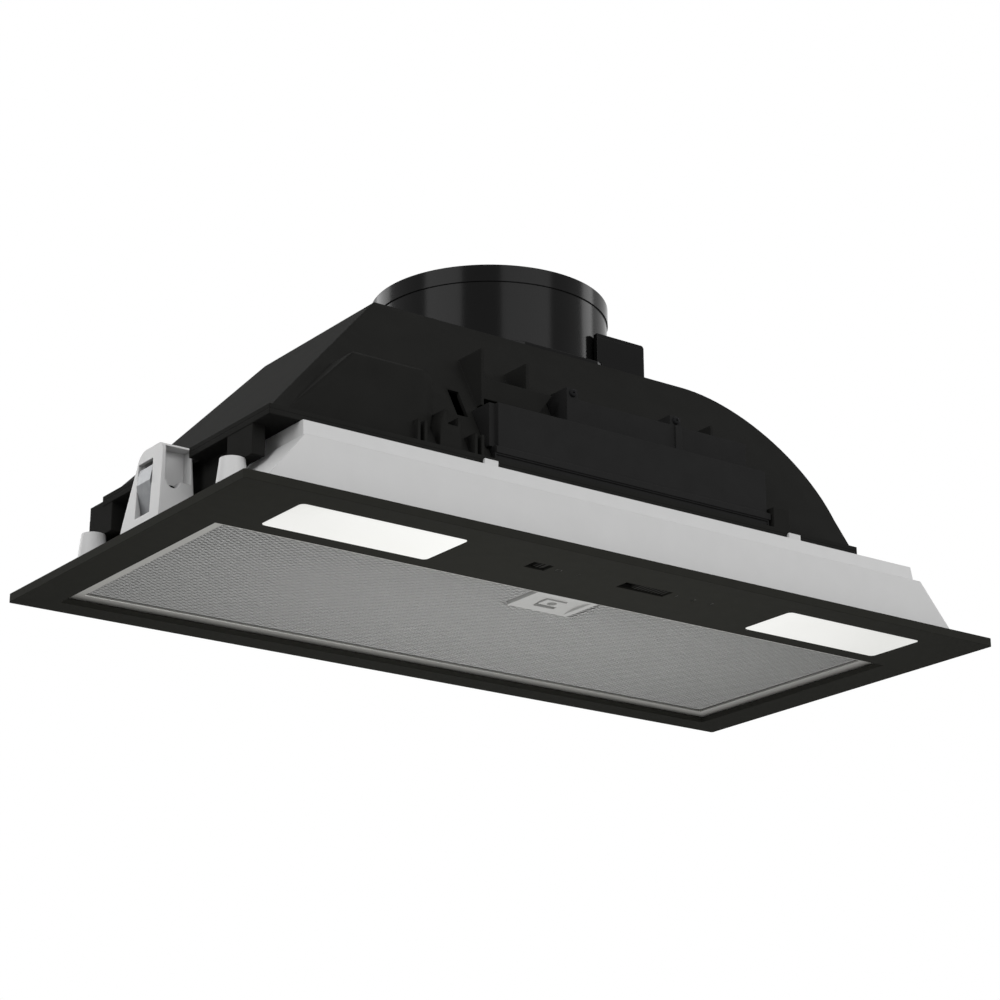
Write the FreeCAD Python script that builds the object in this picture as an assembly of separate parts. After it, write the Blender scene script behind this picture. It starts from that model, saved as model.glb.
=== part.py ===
import FreeCAD, Part
import math
import os

os.makedirs("parts", exist_ok=True)

# Built-in canopy hood. Millimetres, +X along the long side, +Y to the rear, +Z up.
# Origin: centre of the trim plate's visible face, which hangs lowest, at z = 0.

# Clearances that the pieces share
seat = 0.3            # between a piece and what carries it
slip = 0.5            # around a piece that is dropped in by hand
pin_play = 0.06       # radial, a pin turning in its hole

# Trim plate: folded sheet steel
plate_length = 525.0
plate_depth = 260.0
sheet = 1.5
rim_height = 5.0
rim_return = 2.5
plate_corner = 1.5
intake_end_margin = 23.75
intake_front_margin = 69.0
intake_rear_margin = 17.3
stud_end_margin = 60.0
stud_side_margin = 30.0
lip_height = 3.5

# Lamps: a diffuser flush with the plate, its cup and its board
lamp_length = 104.2
lamp_depth = 41.0
lamp_end_margin = 96.3
lamp_front_margin = 37.5
lamp_corner = 3.0
lens_thickness = 3.0
lens_flange = 1.2
lamp_cup_height = 17.0
lamp_cup_margin = 0.4
lamp_cup_wall = 1.8
board_thickness = 1.6
led_side = 5.0
led_height = 1.4
leds_per_lamp = 6

# Slide switches
window_front_margin = 31.5
window_depth = 10.0
lamp_window_x = -57.0
lamp_window_length = 13.5
lamp_knob_length = 7.0
speed_window_x = 17.3
speed_window_length = 33.5
speed_knob_length = 22.0
rib_pitch = 2.4
knob_rise = 1.4
track_height = 2.4
control_box_height = 19.0
control_box_wall = 1.6
control_box_margin = 9.0
switch_body_height = 9.0

# Base frame: light grey moulding
frame_wall = 2.5
foot_margin = 17.5
front_margin = 13.0
rear_margin = 10.0
shoulder_height = 37.0
crown_height = 47.0
end_flare = 26.0
end_taper = 2.1
front_lean = 1.4
crown_setback = 5.6
crown_lean = 1.5
crown_ledge = 1.5
ring_shoulder = 14.0
ledge_height = 25.0
ring_taper = 13.0
ring_rear_taper = 5.5
ledge_width = 9.0
foot_flange = 7.0
flange_thickness = 2.5
snap_hook_width = 9.0
snap_hook_rise = 3.2
snap_hook_x = (-97.0, 123.0)
rim_boss_radius = 6.8
rim_boss_draft = 3.2
rim_boss_inset = 6.0

# Grease filter: aluminium channel round expanded mesh
filter_thickness = 9.0
filter_rim = 9.5
filter_skin = 1.2
mesh_step = 2.0
mesh_sheet = 0.5
core_pitch = 11.0
core_sheet = 0.5
hinge_pin_radius = 2.0
hinge_pin_inset = 4.4
hinge_pin_length = 8.5
hinge_pad_width = 9.5

# Filter latch
latch_width = 43.4
latch_depth = 40.0
latch_wall = 1.6
dish_radius = 60.0
latch_travel = 4.0
latch_reach = 3.0
bolt_width = 20.0
bolt_height = 2.6
pull_width = 14.0
pull_depth = 9.0
spring_strip = 0.4
spring_height = 2.4

# Blower housing: black mouldings
housing_wall = 2.5
roof_height = 155.5
roof_left_x = -133.4
eave_end_margin = 27.25
housing_front_margin = 26.25
roof_front_lap = 0.1
rear_wall_gap = 4.1
wing_step = 33.0
wing_shoulder_x = -75.0
right_shoulder_x = 112.0
right_step = 23.0
scroll_x = 92.0
scroll_radius = 81.5
foot_flare = 2.5
deck_thickness = 3.0
joint_flange = 3.0
joint_flange_height = 2.7
cheek_setback = 2.25
cheek_top = 97.0
cheek_right_x = -118.0
cheek_round = 26.0
cheek_inset = 7.0

slot_x = (-103.5, -96.0)
slot_z = (82.0, 100.0)
guide_x = (-86.5, -37.0)
guide_z = (96.0, 108.5)
guide_reach = 6.5
guide_thickness = 1.8
guide_slant = 9.0
guide_pitch = 32.0
guide_post_top = 126.0
catch_x = -120.0
catch_top = 72.0
catch_reach = 0.75
peg_places = (-142.0, -137.5, -104.5, -100.0)
peg_top = 65.0
rib_places = (-19.0, 82.0)
rib_height = 9.0

eave_box_reach = 10.5
eave_box_bottom = 30.3
eave_front = (27.0, 52.5)
eave_rear = (58.0, 32.0)
eave_gaps = (3.0, -1.0)

# Fan: double-inlet wheel on a lying shaft along Y
wheel_x = 90.0
wheel_z = 96.0
wheel_y = 25.4
wheel_radius = 46.0
wheel_width = 100.0
blade_depth = 11.0
blade_thickness = 1.2
blade_arc = 7.0
blade_swing = 45.0
blade_rim_gap = 0.8
blade_count = 32
wheel_disc = 3.0
wheel_ring = 2.0
hub_radius = 11.0
hub_length = 26.0
shaft_radius = 4.0
scroll_gap = 3.0
side_plate = 2.0
inlet_radius = 38.0
inlet_flare = 6.0
inlet_share = 0.34
trough_radius = 62.0
tongue_x = 64.0
tongue_drop = 12.0
tongue_thickness = 4.0
chamber_x = 30.0
motor_radius = 26.0
motor_length = 44.0
motor_inside = 16.0
motor_cap_radius = 20.0
motor_cap_length = 4.0
bracket_ring = 3.0
stand_off_share = 0.085
clamp_share = 0.28
bracket_arm = 10.0
bracket_reach = 52.5
mount_stub_radius = 4.0

# Outlet collar and its non-return flaps
collar_x = 0.0
collar_y = 25.4
collar_radius = 73.5
collar_wall = 2.5
collar_height = 52.0
collar_band = 10.6
collar_step = 0.7
collar_flange_radius = 78.0
collar_flange = 2.0
flap_height = 17.0
flap_thickness = 1.5
flap_gap = 0.7
flap_pin_radius = 2.0
knuckle_radius = 3.6
knuckle_length = 22.0
flap_split = 5.0
flap_rest = 1.6

# Junction box beside the collar
junction_x = (28.0, 64.0)
junction_y = (-46.5, -12.0)
junction_height = 21.0
junction_wall = 2.0
junction_lid = 2.2
junction_corner = 4.0
cable_radius = 4.5
terminal_length = 15.0
terminal_height = 9.0
terminal_depth = 6.5

# Electronics covers on the front wall
lower_cover_x = (-88.0, 107.0)
lower_cover_z = (62.0, 87.5)
lower_cover_reach = 0.25
lower_cover_lip = 4.5
upper_cover_x = (-31.0, 103.0)
upper_cover_z = (92.0, 107.5)
upper_cover_reach = 10.35
cover_tower_inset = 4.0
cover_tower_pitch = 76.0
cover_wall = 1.8
pcb_length = 150.0
pcb_height = 11.0
relay_size = 9.0
relay_rise = 2.6
relay_places = (-45.0, -20.0, 25.0)
plug_x = (50.0, 58.0)
plug_height = 6.0
plug_depth = 4.0
capacitor_radius = 9.0
capacitor_length = 46.0

# Side brackets and their spring clips
bracket_y = -1.0
bracket_foot = 44.0
bracket_crown = 23.0
bracket_height = 55.0
bracket_out = 7.0
bracket_in = 16.0
bracket_lean = 2.0
bracket_inner_lean = 4.0
bracket_wall = 2.0
pocket_floor = 33.0
pocket_depth = 8.0
pocket_edge = 1.6
pocket_dish = 4.0
window_width = 16.0
window_bottom = 17.0
window_top = 48.0
window_offset = -3.5
clip_thickness = 1.0
clip_bulge = 3.8
clip_foot = 4.0
clip_top_gap = 3.5
clip_roll = 1.2

# Fasteners
screw_radius = 1.5
screw_head_radius = 2.9
screw_head_height = 2.0
screw_bite = 5.0
stud_radius = 1.5
nut_radius = 3.2
nut_height = 2.4
lug_length = 12.0
lug_height = 15.0
lug_edge = 2.8

# ---- places worked out from the sizes above ----
half_length = plate_length / 2
half_depth = plate_depth / 2
intake_x = half_length - intake_end_margin
intake_front = -half_depth + intake_front_margin
intake_rear = half_depth - intake_rear_margin
lamp_x = half_length - lamp_end_margin
lamp_y = -half_depth + lamp_front_margin
window_y = -half_depth + window_front_margin
foot_x = half_length - foot_margin
foot_front = -half_depth + front_margin
foot_rear = half_depth - rear_margin
eave_boxes = ((foot_front + eave_front[0], foot_front + eave_front[1], eave_gaps[0]),
              (foot_rear - eave_rear[0], foot_rear - eave_rear[1], eave_gaps[1]))
shoulder_x = foot_x - end_flare
crown_x = shoulder_x - end_taper
shoulder_front = foot_front + front_lean
crown_front = shoulder_front + crown_setback
crown_foot = crown_front - crown_lean
partition_front = intake_front - sheet - seat - frame_wall
partition_rear = intake_front - sheet - seat
ring_top_x = foot_x - ring_taper
ring_top_rear = foot_rear - ring_rear_taper
ledge_x = ring_top_x - ledge_width
ledge_front = partition_rear + ledge_width - frame_wall
ledge_rear = ring_top_rear - ledge_width - frame_wall
filter_x = intake_x - slip
filter_front = intake_front + slip
filter_rear = intake_rear - slip
filter_bottom = lip_height
filter_top = filter_bottom + filter_thickness
hinge_y = filter_rear - hinge_pin_inset
hinge_z = filter_bottom + filter_thickness / 2
deck_bottom = crown_height + seat
deck_top = deck_bottom + deck_thickness
well_x = ring_top_x - 7.5
well_front = partition_rear + seat
well_rear = ring_top_rear - 5.5
roof_front_y = collar_y - collar_radius + roof_front_lap
rear_wall_y = collar_y + collar_radius + rear_wall_gap
wing_rear_y = rear_wall_y - wing_step
right_rear_y = rear_wall_y - right_step
eave_x = -half_length + eave_end_margin
left_run = (roof_left_x - eave_x) / (roof_height - deck_top)
housing_front = -half_depth + housing_front_margin
front_lean_ratio = (roof_front_y - housing_front) / (roof_height - deck_top)
lean_angle = math.atan(front_lean_ratio)
cheek_front_y = housing_front + cheek_setback
catch_y = housing_front - catch_reach
lower_cover_y = housing_front - lower_cover_reach
guide_y = roof_front_y - (roof_height - guide_z[0]) * front_lean_ratio - guide_reach
upper_cover_y = roof_front_y - (roof_height - upper_cover_z[0]) * front_lean_ratio - upper_cover_reach
scroll_z = roof_height - scroll_radius
scroll_front = wheel_y - wheel_width / 2 - scroll_gap
scroll_rear = wheel_y + wheel_width / 2 + scroll_gap
motor_rear = wheel_y - wheel_width / 2 + motor_inside
motor_front = motor_rear - motor_length
bracket_top = wheel_z + bracket_reach + screw_head_radius
bay_lean = (roof_height - bracket_top) * front_lean_ratio
bay_front = roof_front_y - bay_lean + housing_wall / math.cos(lean_angle)
motor_bay = scroll_front - side_plate - bay_front
inlet_height = motor_bay * inlet_share
bracket_stand_off = motor_bay * stand_off_share
bracket_width = motor_bay * clamp_share
collar_top = roof_height + collar_height
collar_inner = collar_radius - collar_wall
flap_z = roof_height + flap_height
cable_y = (junction_y[0] + junction_y[1]) / 2 + 2.0
cable_z = roof_height + junction_height / 2
bracket_outer = foot_x + bracket_out
bracket_inner = foot_x - bracket_in
bracket_front = bracket_y - bracket_foot / 2
bracket_rear = bracket_y + bracket_foot / 2
fix_x = bracket_outer - bracket_lean - pocket_edge - pocket_dish - 1.0
fix_y = bracket_front + pocket_depth / 2
fix_ledge = pocket_floor - pocket_dish
fix_foot = ring_shoulder - 1.0
clip_y = bracket_y + window_offset
clip_x = bracket_outer - bracket_lean - bracket_wall - seat
clip_z = window_bottom - clip_foot


def place(plane, u, v, w):
    """Point from two coordinates in a plane and one along its normal."""
    if plane == "xy":
        return FreeCAD.Vector(u, v, w)
    if plane == "xz":
        return FreeCAD.Vector(u, w, v)
    return FreeCAD.Vector(w, u, v)


def prism(plane, path, low, high):
    """Closed path in a plane, drawn out from low to high. A step of two points bends through the first."""
    start = place(plane, path[0][0], path[0][1], low)
    here = start
    edges = []
    for step in list(path[1:]) + [path[0]]:
        if isinstance(step[0], tuple):
            middle = place(plane, step[0][0], step[0][1], low)
            there = place(plane, step[1][0], step[1][1], low)
            edges.append(Part.Arc(here, middle, there).toShape())
        else:
            there = place(plane, step[0], step[1], low)
            if there.distanceToPoint(here) < 1e-6:
                continue
            edges.append(Part.LineSegment(here, there).toShape())
        here = there
    face = Part.Face(Part.Wire(edges))
    return face.extrude(place(plane, 0, 0, high) - place(plane, 0, 0, low))


def box(x0, x1, y0, y1, z0, z1):
    """Block between two corners."""
    return Part.makeBox(x1 - x0, y1 - y0, z1 - z0, FreeCAD.Vector(x0, y0, z0))


def rounded(x0, x1, y0, y1, z0, z1, radius):
    """Block with its four upright edges rounded."""
    k = radius * (1 - math.sqrt(0.5))
    path = [
        (x0 + radius, y0), (x1 - radius, y0), ((x1 - k, y0 + k), (x1, y0 + radius)),
        (x1, y1 - radius), ((x1 - k, y1 - k), (x1 - radius, y1)),
        (x0 + radius, y1), ((x0 + k, y1 - k), (x0, y1 - radius)),
        (x0, y0 + radius), ((x0 + k, y0 + k), (x0 + radius, y0)),
    ]
    return prism("xy", path, z0, z1)


def rod(axis, u, v, low, high, radius):
    """Cylinder along x, y or z; u and v are its centre in the other two."""
    if axis == "x":
        return Part.makeCylinder(radius, high - low, FreeCAD.Vector(low, u, v), FreeCAD.Vector(1, 0, 0))
    if axis == "y":
        return Part.makeCylinder(radius, high - low, FreeCAD.Vector(u, low, v), FreeCAD.Vector(0, 1, 0))
    return Part.makeCylinder(radius, high - low, FreeCAD.Vector(u, v, low), FreeCAD.Vector(0, 0, 1))


def join(shapes):
    """One solid from touching or overlapping ones."""
    result = shapes[0]
    if len(shapes) > 1:
        result = result.multiFuse(shapes[1:])
    return result.removeSplitter()


def mirror_x(shape):
    """The same piece for the other end."""
    return shape.mirror(FreeCAD.Vector(0, 0, 0), FreeCAD.Vector(1, 0, 0))


def save(node, shape):
    """Write one sub-part."""
    if not shape.isValid():
        raise ValueError(node + " is not a valid solid")
    if min(s.Volume for s in shape.Solids) <= 0:
        raise ValueError(node + " has an empty solid")
    shape.exportStep("parts/" + node + ".step")
    print(node, len(shape.Solids), round(shape.Volume, 1))


# ---- trim plate ----
def stud_places():
    """Welded studs that hold the base frame down: four along the rear, two at each end."""
    near = foot_front - foot_flange / 2
    far = foot_rear + foot_flange / 2
    along = foot_x - stud_end_margin
    places = [(x, far) for x in (-along, -along / 3, along / 3, along)]
    ends = (near + stud_side_margin, far - stud_side_margin)
    places += [(side * (foot_x + foot_flange / 2), y) for side in (-1, 1) for y in ends]
    return places


def trim_plate():
    hem = rounded(-half_length, half_length, -half_depth, half_depth, 0, rim_height, plate_corner)
    inside = box(-half_length + sheet, half_length - sheet, -half_depth + sheet, half_depth - sheet,
                 sheet, rim_height - sheet)
    well = box(-half_length + rim_return, half_length - rim_return, -half_depth + rim_return,
               half_depth - rim_return, sheet, rim_height)
    lip = box(-intake_x - sheet, intake_x + sheet, intake_front - sheet, intake_rear + sheet, 0, lip_height)
    hole = box(-intake_x, intake_x, intake_front, intake_rear, -1, rim_height + 1)
    plate = hem.cut(inside).cut(well).fuse(lip).cut(hole)
    for side in (-1, 1):
        plate = plate.cut(lamp_block(side, slip / 2, -1, rim_height))
    for x, length in ((lamp_window_x, lamp_window_length), (speed_window_x, speed_window_length)):
        plate = plate.cut(box(x - length / 2, x + length / 2, window_y - window_depth / 2,
                              window_y + window_depth / 2, -1, rim_height))
    save("trim_plate", plate.removeSplitter())
    top = sheet + flange_thickness + nut_height + 1.5
    studs = [rod("z", x, y, sheet, top, stud_radius) for x, y in stud_places()]
    save("plate_studs", Part.makeCompound(studs))
    nuts = [hex_nut(x, y, sheet + flange_thickness) for x, y in stud_places()]
    save("plate_nuts", Part.makeCompound(nuts))


def hex_nut(x, y, z):
    """Hexagon nut standing on z, with a plain bore."""
    corners = [(x + nut_radius * math.cos(math.radians(60 * i)),
                y + nut_radius * math.sin(math.radians(60 * i))) for i in range(6)]
    return prism("xy", corners, z, z + nut_height).cut(rod("z", x, y, z - 1, z + nut_height + 1,
                                                           stud_radius + pin_play))


# ---- base frame ----
def compartment(inset, bottom):
    """Front compartment for lamps and switches: flared ends, a crown band set back on a ledge."""
    ledge = shoulder_height - inset
    ends = [(foot_x - inset, bottom), (foot_x - inset, rim_height), (shoulder_x - inset, ledge),
            (shoulder_x - crown_ledge - inset, ledge), (crown_x - inset, crown_height - inset)]
    ends += [(-x, z) for x, z in reversed(ends)]
    rear = partition_rear - inset
    side = [(foot_front + inset, bottom), (foot_front + inset, rim_height), (shoulder_front + inset, ledge),
            (crown_foot + inset, ledge), (crown_front + inset, crown_height - inset),
            (rear, crown_height - inset), (rear, bottom)]
    along = prism("xz", ends, foot_front - 1, rear + 1)
    across = prism("yz", side, -half_length, half_length)
    return along.common(across)


def ring(inset, bottom):
    """Low ring behind the compartment, round the filter."""
    top = ledge_height - inset
    ends = [(-foot_x + inset, bottom), (foot_x - inset, bottom), (foot_x - inset, ring_shoulder),
            (ring_top_x - inset, top), (-ring_top_x + inset, top), (-foot_x + inset, ring_shoulder)]
    front = partition_rear if inset else partition_front
    side = [(front, bottom), (foot_rear - inset, bottom), (foot_rear - inset, ring_shoulder),
            (ring_top_rear - inset, top), (front, top)]
    return prism("xz", ends, front, foot_rear).common(prism("yz", side, -half_length, half_length))


def base_frame():
    outside = compartment(0, sheet).fuse(ring(0, sheet))
    flange = box(-foot_x - foot_flange, foot_x + foot_flange, foot_front, foot_rear + foot_flange,
                 sheet, sheet + flange_thickness)
    shell = outside.fuse(flange).cut(compartment(frame_wall, sheet - 1)).cut(ring(frame_wall, sheet - 1))
    shell = shell.cut(box(-ledge_x, ledge_x, ledge_front, ledge_rear, ring_shoulder, ledge_height + 1))
    pads = []
    hooks = []
    bosses = []
    for side in (-1, 1):
        inner = side * (filter_x + 2.0)
        outer = side * (foot_x - frame_wall / 2)
        low, high = min(inner, outer), max(inner, outer)
        pads.append(box(low, high, hinge_y - hinge_pad_width / 2, hinge_y + hinge_pad_width / 2,
                        lip_height + seat, filter_top + 1.0))
        for near, far, gap in eave_boxes:
            boss = Part.makeCone(rim_boss_radius + rim_boss_draft, rim_boss_radius,
                                 eave_box_bottom - seat - sheet,
                                 FreeCAD.Vector(side * (foot_x - rim_boss_inset), (near + far) / 2, sheet))
            bosses.append(boss.cut(compartment(frame_wall, sheet - 1)).cut(ring(frame_wall, sheet - 1)))
    for x in snap_hook_x:
        arm = [(crown_front, crown_height - 4.0), (crown_front + 2.0, crown_height - 4.0),
               (crown_front + 2.0, crown_height + snap_hook_rise - 1.5),
               (crown_front + 1.0, crown_height + snap_hook_rise),
               (crown_front, crown_height + snap_hook_rise)]
        hooks.append(prism("yz", arm, x - snap_hook_width / 2, x + snap_hook_width / 2))
    shell = join([shell] + pads + hooks + bosses)
    for side in (-1, 1):
        end = side * (foot_x - 0.6)
        shell = shell.cut(rod("x", hinge_y, hinge_z, min(0, end), max(0, end), hinge_pin_radius + pin_play))
    shell = shell.cut(box(-bolt_width / 2 - slip, bolt_width / 2 + slip, partition_front - 1,
                          partition_rear + 1, bolt_bottom() - seat, bolt_bottom() + bolt_height + seat))
    for x, y in stud_places():
        shell = shell.cut(rod("z", x, y, 0, rim_height, stud_radius + seat))
    for x, y in frame_screw_places():
        shell = shell.cut(rod("z", x, y, ledge_height - 6, ledge_height + 1, screw_radius))
    for side in (-1, 1):
        shell = shell.cut(rod("z", side * fix_x, fix_y, fix_foot, ledge_height, screw_radius))
    save("base_frame", shell)


def frame_screw_places():
    """Screws from the well's flange down into the base frame's ledge."""
    x = (ring_top_x - 1.0 + well_x) / 2
    return [(side * x, y) for side in (-1, 1) for y in (ledge_front + 12.0, ledge_rear - 12.0)]


# ---- lamps ----
def lamp_block(side, grow, z0, z1):
    x = side * lamp_x
    return rounded(x - lamp_length / 2 - grow, x + lamp_length / 2 + grow, lamp_y - lamp_depth / 2 - grow,
                   lamp_y + lamp_depth / 2 + grow, z0, z1, lamp_corner + grow)


def lamps():
    for side, name in ((-1, "left"), (1, "right")):
        flange_top = sheet + seat + 1.2
        lens = lamp_block(side, 0, 0, lens_thickness)
        lens = lens.fuse(lamp_block(side, lens_flange, sheet + seat, flange_top))
        save("lamp_lens_" + name, lens.removeSplitter())
        cup_bottom = flange_top
        cup_top = cup_bottom + lamp_cup_height
        cup = lamp_block(side, lamp_cup_margin, cup_bottom, cup_top)
        cup = cup.cut(lamp_block(side, lamp_cup_margin - lamp_cup_wall, cup_bottom - 1,
                                 cup_top - lamp_cup_wall))
        x = side * lamp_x
        wire_slot = box(x - 4, x + 4, lamp_y - 3, lamp_y + 3, cup_top - lamp_cup_wall - 1, cup_top + 1)
        save("lamp_cup_" + name, cup.cut(wire_slot))
        board_top = cup_top - lamp_cup_wall
        board_bottom = board_top - board_thickness
        board = lamp_block(side, lamp_cup_margin - lamp_cup_wall - slip, board_bottom, board_top)
        pitch = lamp_length / leds_per_lamp
        leds = []
        for i in range(leds_per_lamp):
            led_x = x + (i - (leds_per_lamp - 1) / 2) * pitch
            leds.append(box(led_x - led_side / 2, led_x + led_side / 2, lamp_y - led_side / 2,
                            lamp_y + led_side / 2, board_bottom - led_height, board_bottom))
        save("lamp_board_" + name, join([board] + leds))


# ---- slide switches ----
def windows():
    """Name, centre, window length and knob length of each switch."""
    return (("lamp", lamp_window_x, lamp_window_length, lamp_knob_length),
            ("speed", speed_window_x, speed_window_length, speed_knob_length))


def controls():
    low = lamp_window_x - lamp_window_length / 2 - control_box_margin
    high = speed_window_x + speed_window_length / 2 + control_box_margin
    front = window_y - window_depth / 2 - control_box_margin / 2
    rear = window_y + window_depth / 2 + control_box_margin
    bottom = sheet + seat
    top = bottom + control_box_height
    case = box(low, high, front, rear, bottom, top)
    case = case.cut(box(low + control_box_wall, high - control_box_wall, front + control_box_wall,
                        rear - control_box_wall, bottom + control_box_wall, top + 1))
    for name, x, length, knob_length in windows():
        case = case.cut(box(x - length / 2, x + length / 2, window_y - window_depth / 2,
                            window_y + window_depth / 2, bottom - 1, bottom + control_box_wall + 1))
    save("control_case", case)
    lid = box(low, high, front, rear, top, top + control_box_wall)
    skirt = box(low + control_box_wall + seat, high - control_box_wall - seat,
                front + control_box_wall + seat, rear - control_box_wall - seat, top - 1.5, top)
    hollow = box(low + 2 * control_box_wall + seat, high - 2 * control_box_wall - seat,
                 front + 2 * control_box_wall + seat, rear - 2 * control_box_wall - seat, top - 2, top)
    save("control_lid", lid.fuse(skirt.cut(hollow)).removeSplitter())
    floor = bottom + control_box_wall
    for name, x, length, knob_length in windows():
        # knob at the right end of its window: a ribbed pad on a slide plate, with the switch's stem
        knob_low = x + length / 2 - slip - knob_length
        pad = box(knob_low, knob_low + knob_length, window_y - window_depth / 2 + slip,
                  window_y + window_depth / 2 - slip, knob_rise, floor + seat)
        ribs = []
        for i in range(int(knob_length / rib_pitch)):
            rib_x = knob_low + rib_pitch * (i + 0.5)
            ribs.append(box(rib_x - 0.5, rib_x + 0.5, window_y - window_depth / 2 + 1.5,
                            window_y + window_depth / 2 - 1.5, knob_rise - 0.8, knob_rise))
        slide = box(knob_low - 1.5, knob_low + knob_length + 1.5, window_y - window_depth / 2 - 2.0,
                    window_y + window_depth / 2 + 2.0, floor + seat, floor + seat + track_height)
        stem = box(knob_low + knob_length / 2 - 2, knob_low + knob_length / 2 + 2, window_y - 2, window_y + 2,
                   floor + seat + track_height, floor + seat + track_height + 3.0)
        save(name + "_knob", join([pad, slide, stem] + ribs))
        body_low = floor + seat + track_height + seat
        body = box(x - length / 2 - 3.0, x + length / 2 + 3.0, window_y - window_depth / 2,
                   window_y + window_depth / 2, body_low, body_low + switch_body_height)
        slot = box(x - length / 2 - 1.0, x + length / 2 + 1.0, window_y - 2 - slip, window_y + 2 + slip,
                   body_low - 1, body_low + 3.0 + slip)
        reach = window_depth / 2 + control_box_margin / 2 - control_box_wall - seat
        feet = [box(foot - 1.0, foot + 1.0, window_y - reach, window_y + reach, floor, body_low + 2.0)
                for foot in (x - length / 2 - 4.0, x + length / 2 + 4.0)]
        pins = [box(x + dx - 0.6, x + dx + 0.6, window_y - 1, window_y + 1, body_low + switch_body_height,
                    body_low + switch_body_height + 2.0) for dx in (-length / 4, length / 4)]
        save(name + "_switch", join([body.cut(slot)] + feet + pins))


# ---- grease filter ----
def filter_ring(margin, z0, z1):
    return box(-filter_x + margin, filter_x - margin, filter_front + margin, filter_rear - margin, z0, z1)


def latch_notch(grow):
    """Space that the latch takes out of the filter's front rim and mesh."""
    return box(-latch_width / 2 - grow, latch_width / 2 + grow, filter_front - 1,
               filter_front + latch_depth + grow, filter_bottom - 1, filter_top + 1)


def bolt_bottom():
    return filter_bottom + latch_wall + 2.4


def grease_filter():
    rim = filter_ring(0, filter_bottom, filter_top)
    rim = rim.cut(filter_ring(filter_rim, filter_bottom - 1, filter_top + 1))
    channel = filter_ring(filter_skin, filter_bottom + mesh_step, filter_top - filter_skin)
    rim = rim.cut(channel).cut(latch_notch(0))
    for side in (-1, 1):
        inner = side * (filter_x - hinge_pin_length + 2.5)
        end = side * filter_x
        block = box(min(inner, end), max(inner, end), hinge_y - 3.2, hinge_y + 3.2, filter_bottom + mesh_step,
                    filter_top - filter_skin)
        rim = rim.fuse(block)
        rim = rim.cut(rod("x", hinge_y, hinge_z, min(inner, end) - 3, max(inner, end) + 3, hinge_pin_radius))
    save("filter_rim", rim.removeSplitter())
    bottom = filter_bottom + mesh_step
    top = filter_top - filter_skin
    margin = filter_skin + seat
    keep = latch_notch(seat)
    for side in (-1, 1):
        inner = side * (filter_x - hinge_pin_length - 1.0)
        end = side * (filter_x + 1)
        keep = keep.fuse(box(min(inner, end), max(inner, end), hinge_y - 4.0, filter_rear + 1,
                             bottom - 1, top + 1))
    save("filter_mesh_lower", filter_ring(margin, bottom, bottom + mesh_sheet).cut(keep))
    save("filter_mesh_upper", filter_ring(margin, top - mesh_sheet, top).cut(keep))
    save("filter_core", pleats(bottom + mesh_sheet, top - mesh_sheet).cut(keep))
    pins = []
    for side in (-1, 1):
        outer = side * (foot_x - frame_wall + 0.6)
        inner = side * (filter_x - hinge_pin_length + 2.5)
        pins.append(rod("x", hinge_y, hinge_z, min(inner, outer), max(inner, outer), hinge_pin_radius))
    save("filter_pins", Part.makeCompound(pins))


def pleats(z0, z1):
    """Pleated inner layer of mesh, its folds running front to back."""
    count = int((filter_x - filter_skin - seat) * 2 / core_pitch)
    rise = z1 - z0 - core_sheet
    start = -count * core_pitch / 2
    lower = []
    upper = []
    for i in range(2 * count + 1):
        x = start + i * core_pitch / 2
        z = z0 + rise * (i % 2)
        lower.append((x, z))
        upper.append((x, z + core_sheet))
    y0 = filter_front + filter_skin + seat
    y1 = filter_rear - filter_skin - seat
    return prism("xz", lower + upper[::-1], y0, y1)


def filter_latch():
    front = filter_front
    rear = filter_front + latch_depth
    half = latch_width / 2 - seat
    bottom = filter_bottom + 0.2
    case = box(-half, half, front, rear - seat, bottom, filter_top)
    # channel for the bolt and its spring, open at the front edge and closed by the upper wall
    slot_bottom = bolt_bottom() - seat
    slot_top = bolt_bottom() + bolt_height + seat
    pull_y = front + latch_depth * 0.62
    slot_rear = pull_y + pull_depth / 2 + latch_travel + slip
    case = case.cut(box(-bolt_width / 2 - slip, bolt_width / 2 + slip, front - 1, slot_rear, slot_bottom,
                        slot_top))
    case = case.cut(box(-6.0, 6.0, pull_y, rear - 3.0, slot_bottom, slot_top))
    # dished finger recess round the pull, seen from below
    dish = rod("x", pull_y - 1.0, bottom + 1.5 - dish_radius, -half + 4.0, half - 4.0, dish_radius)
    case = case.cut(dish)
    case = case.cut(box(-pull_width / 2 - slip, pull_width / 2 + slip, pull_y - pull_depth / 2 - slip,
                        slot_rear, bottom - 1, slot_bottom + 1))
    save("latch_case", case.removeSplitter())
    tip = front - latch_reach
    bolt_top = bolt_bottom() + bolt_height
    bolt = box(-bolt_width / 2, bolt_width / 2, tip, pull_y + pull_depth / 2, bolt_bottom(), bolt_top)
    nose = [(tip - 1, bolt_top + 1), (tip - 1, bolt_bottom() + 1.2), (tip + 2.2, bolt_top + 1)]
    bolt = bolt.cut(prism("yz", nose, -bolt_width, bolt_width))
    pull = box(-pull_width / 2, pull_width / 2, pull_y - pull_depth / 2, pull_y + pull_depth / 2,
               bottom + 0.6, bolt_bottom() + 0.5)
    hollow = rod("z", 0, pull_y + 0.5, bottom, bolt_bottom() - 0.6, 3.0)
    save("latch_bolt", bolt.fuse(pull).cut(hollow).removeSplitter())
    # bowed strip spring between the bolt's tail and the end of the channel
    tail = pull_y + pull_depth / 2 + 0.1
    end = rear - 3.1
    rise = 4.2
    z0 = bolt_bottom() + 0.1
    outer = [(-rise, tail), ((0, tail + (end - tail)), (rise, tail)), (rise - spring_strip, tail),
             ((0, end - spring_strip), (-rise + spring_strip, tail))]
    save("latch_spring", prism("xy", outer, z0, z0 + spring_height))


# ---- blower housing ----
def lean_y(z):
    """Outer face of the leaning front wall at height z."""
    return roof_front_y - (roof_height - z) * front_lean_ratio


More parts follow.
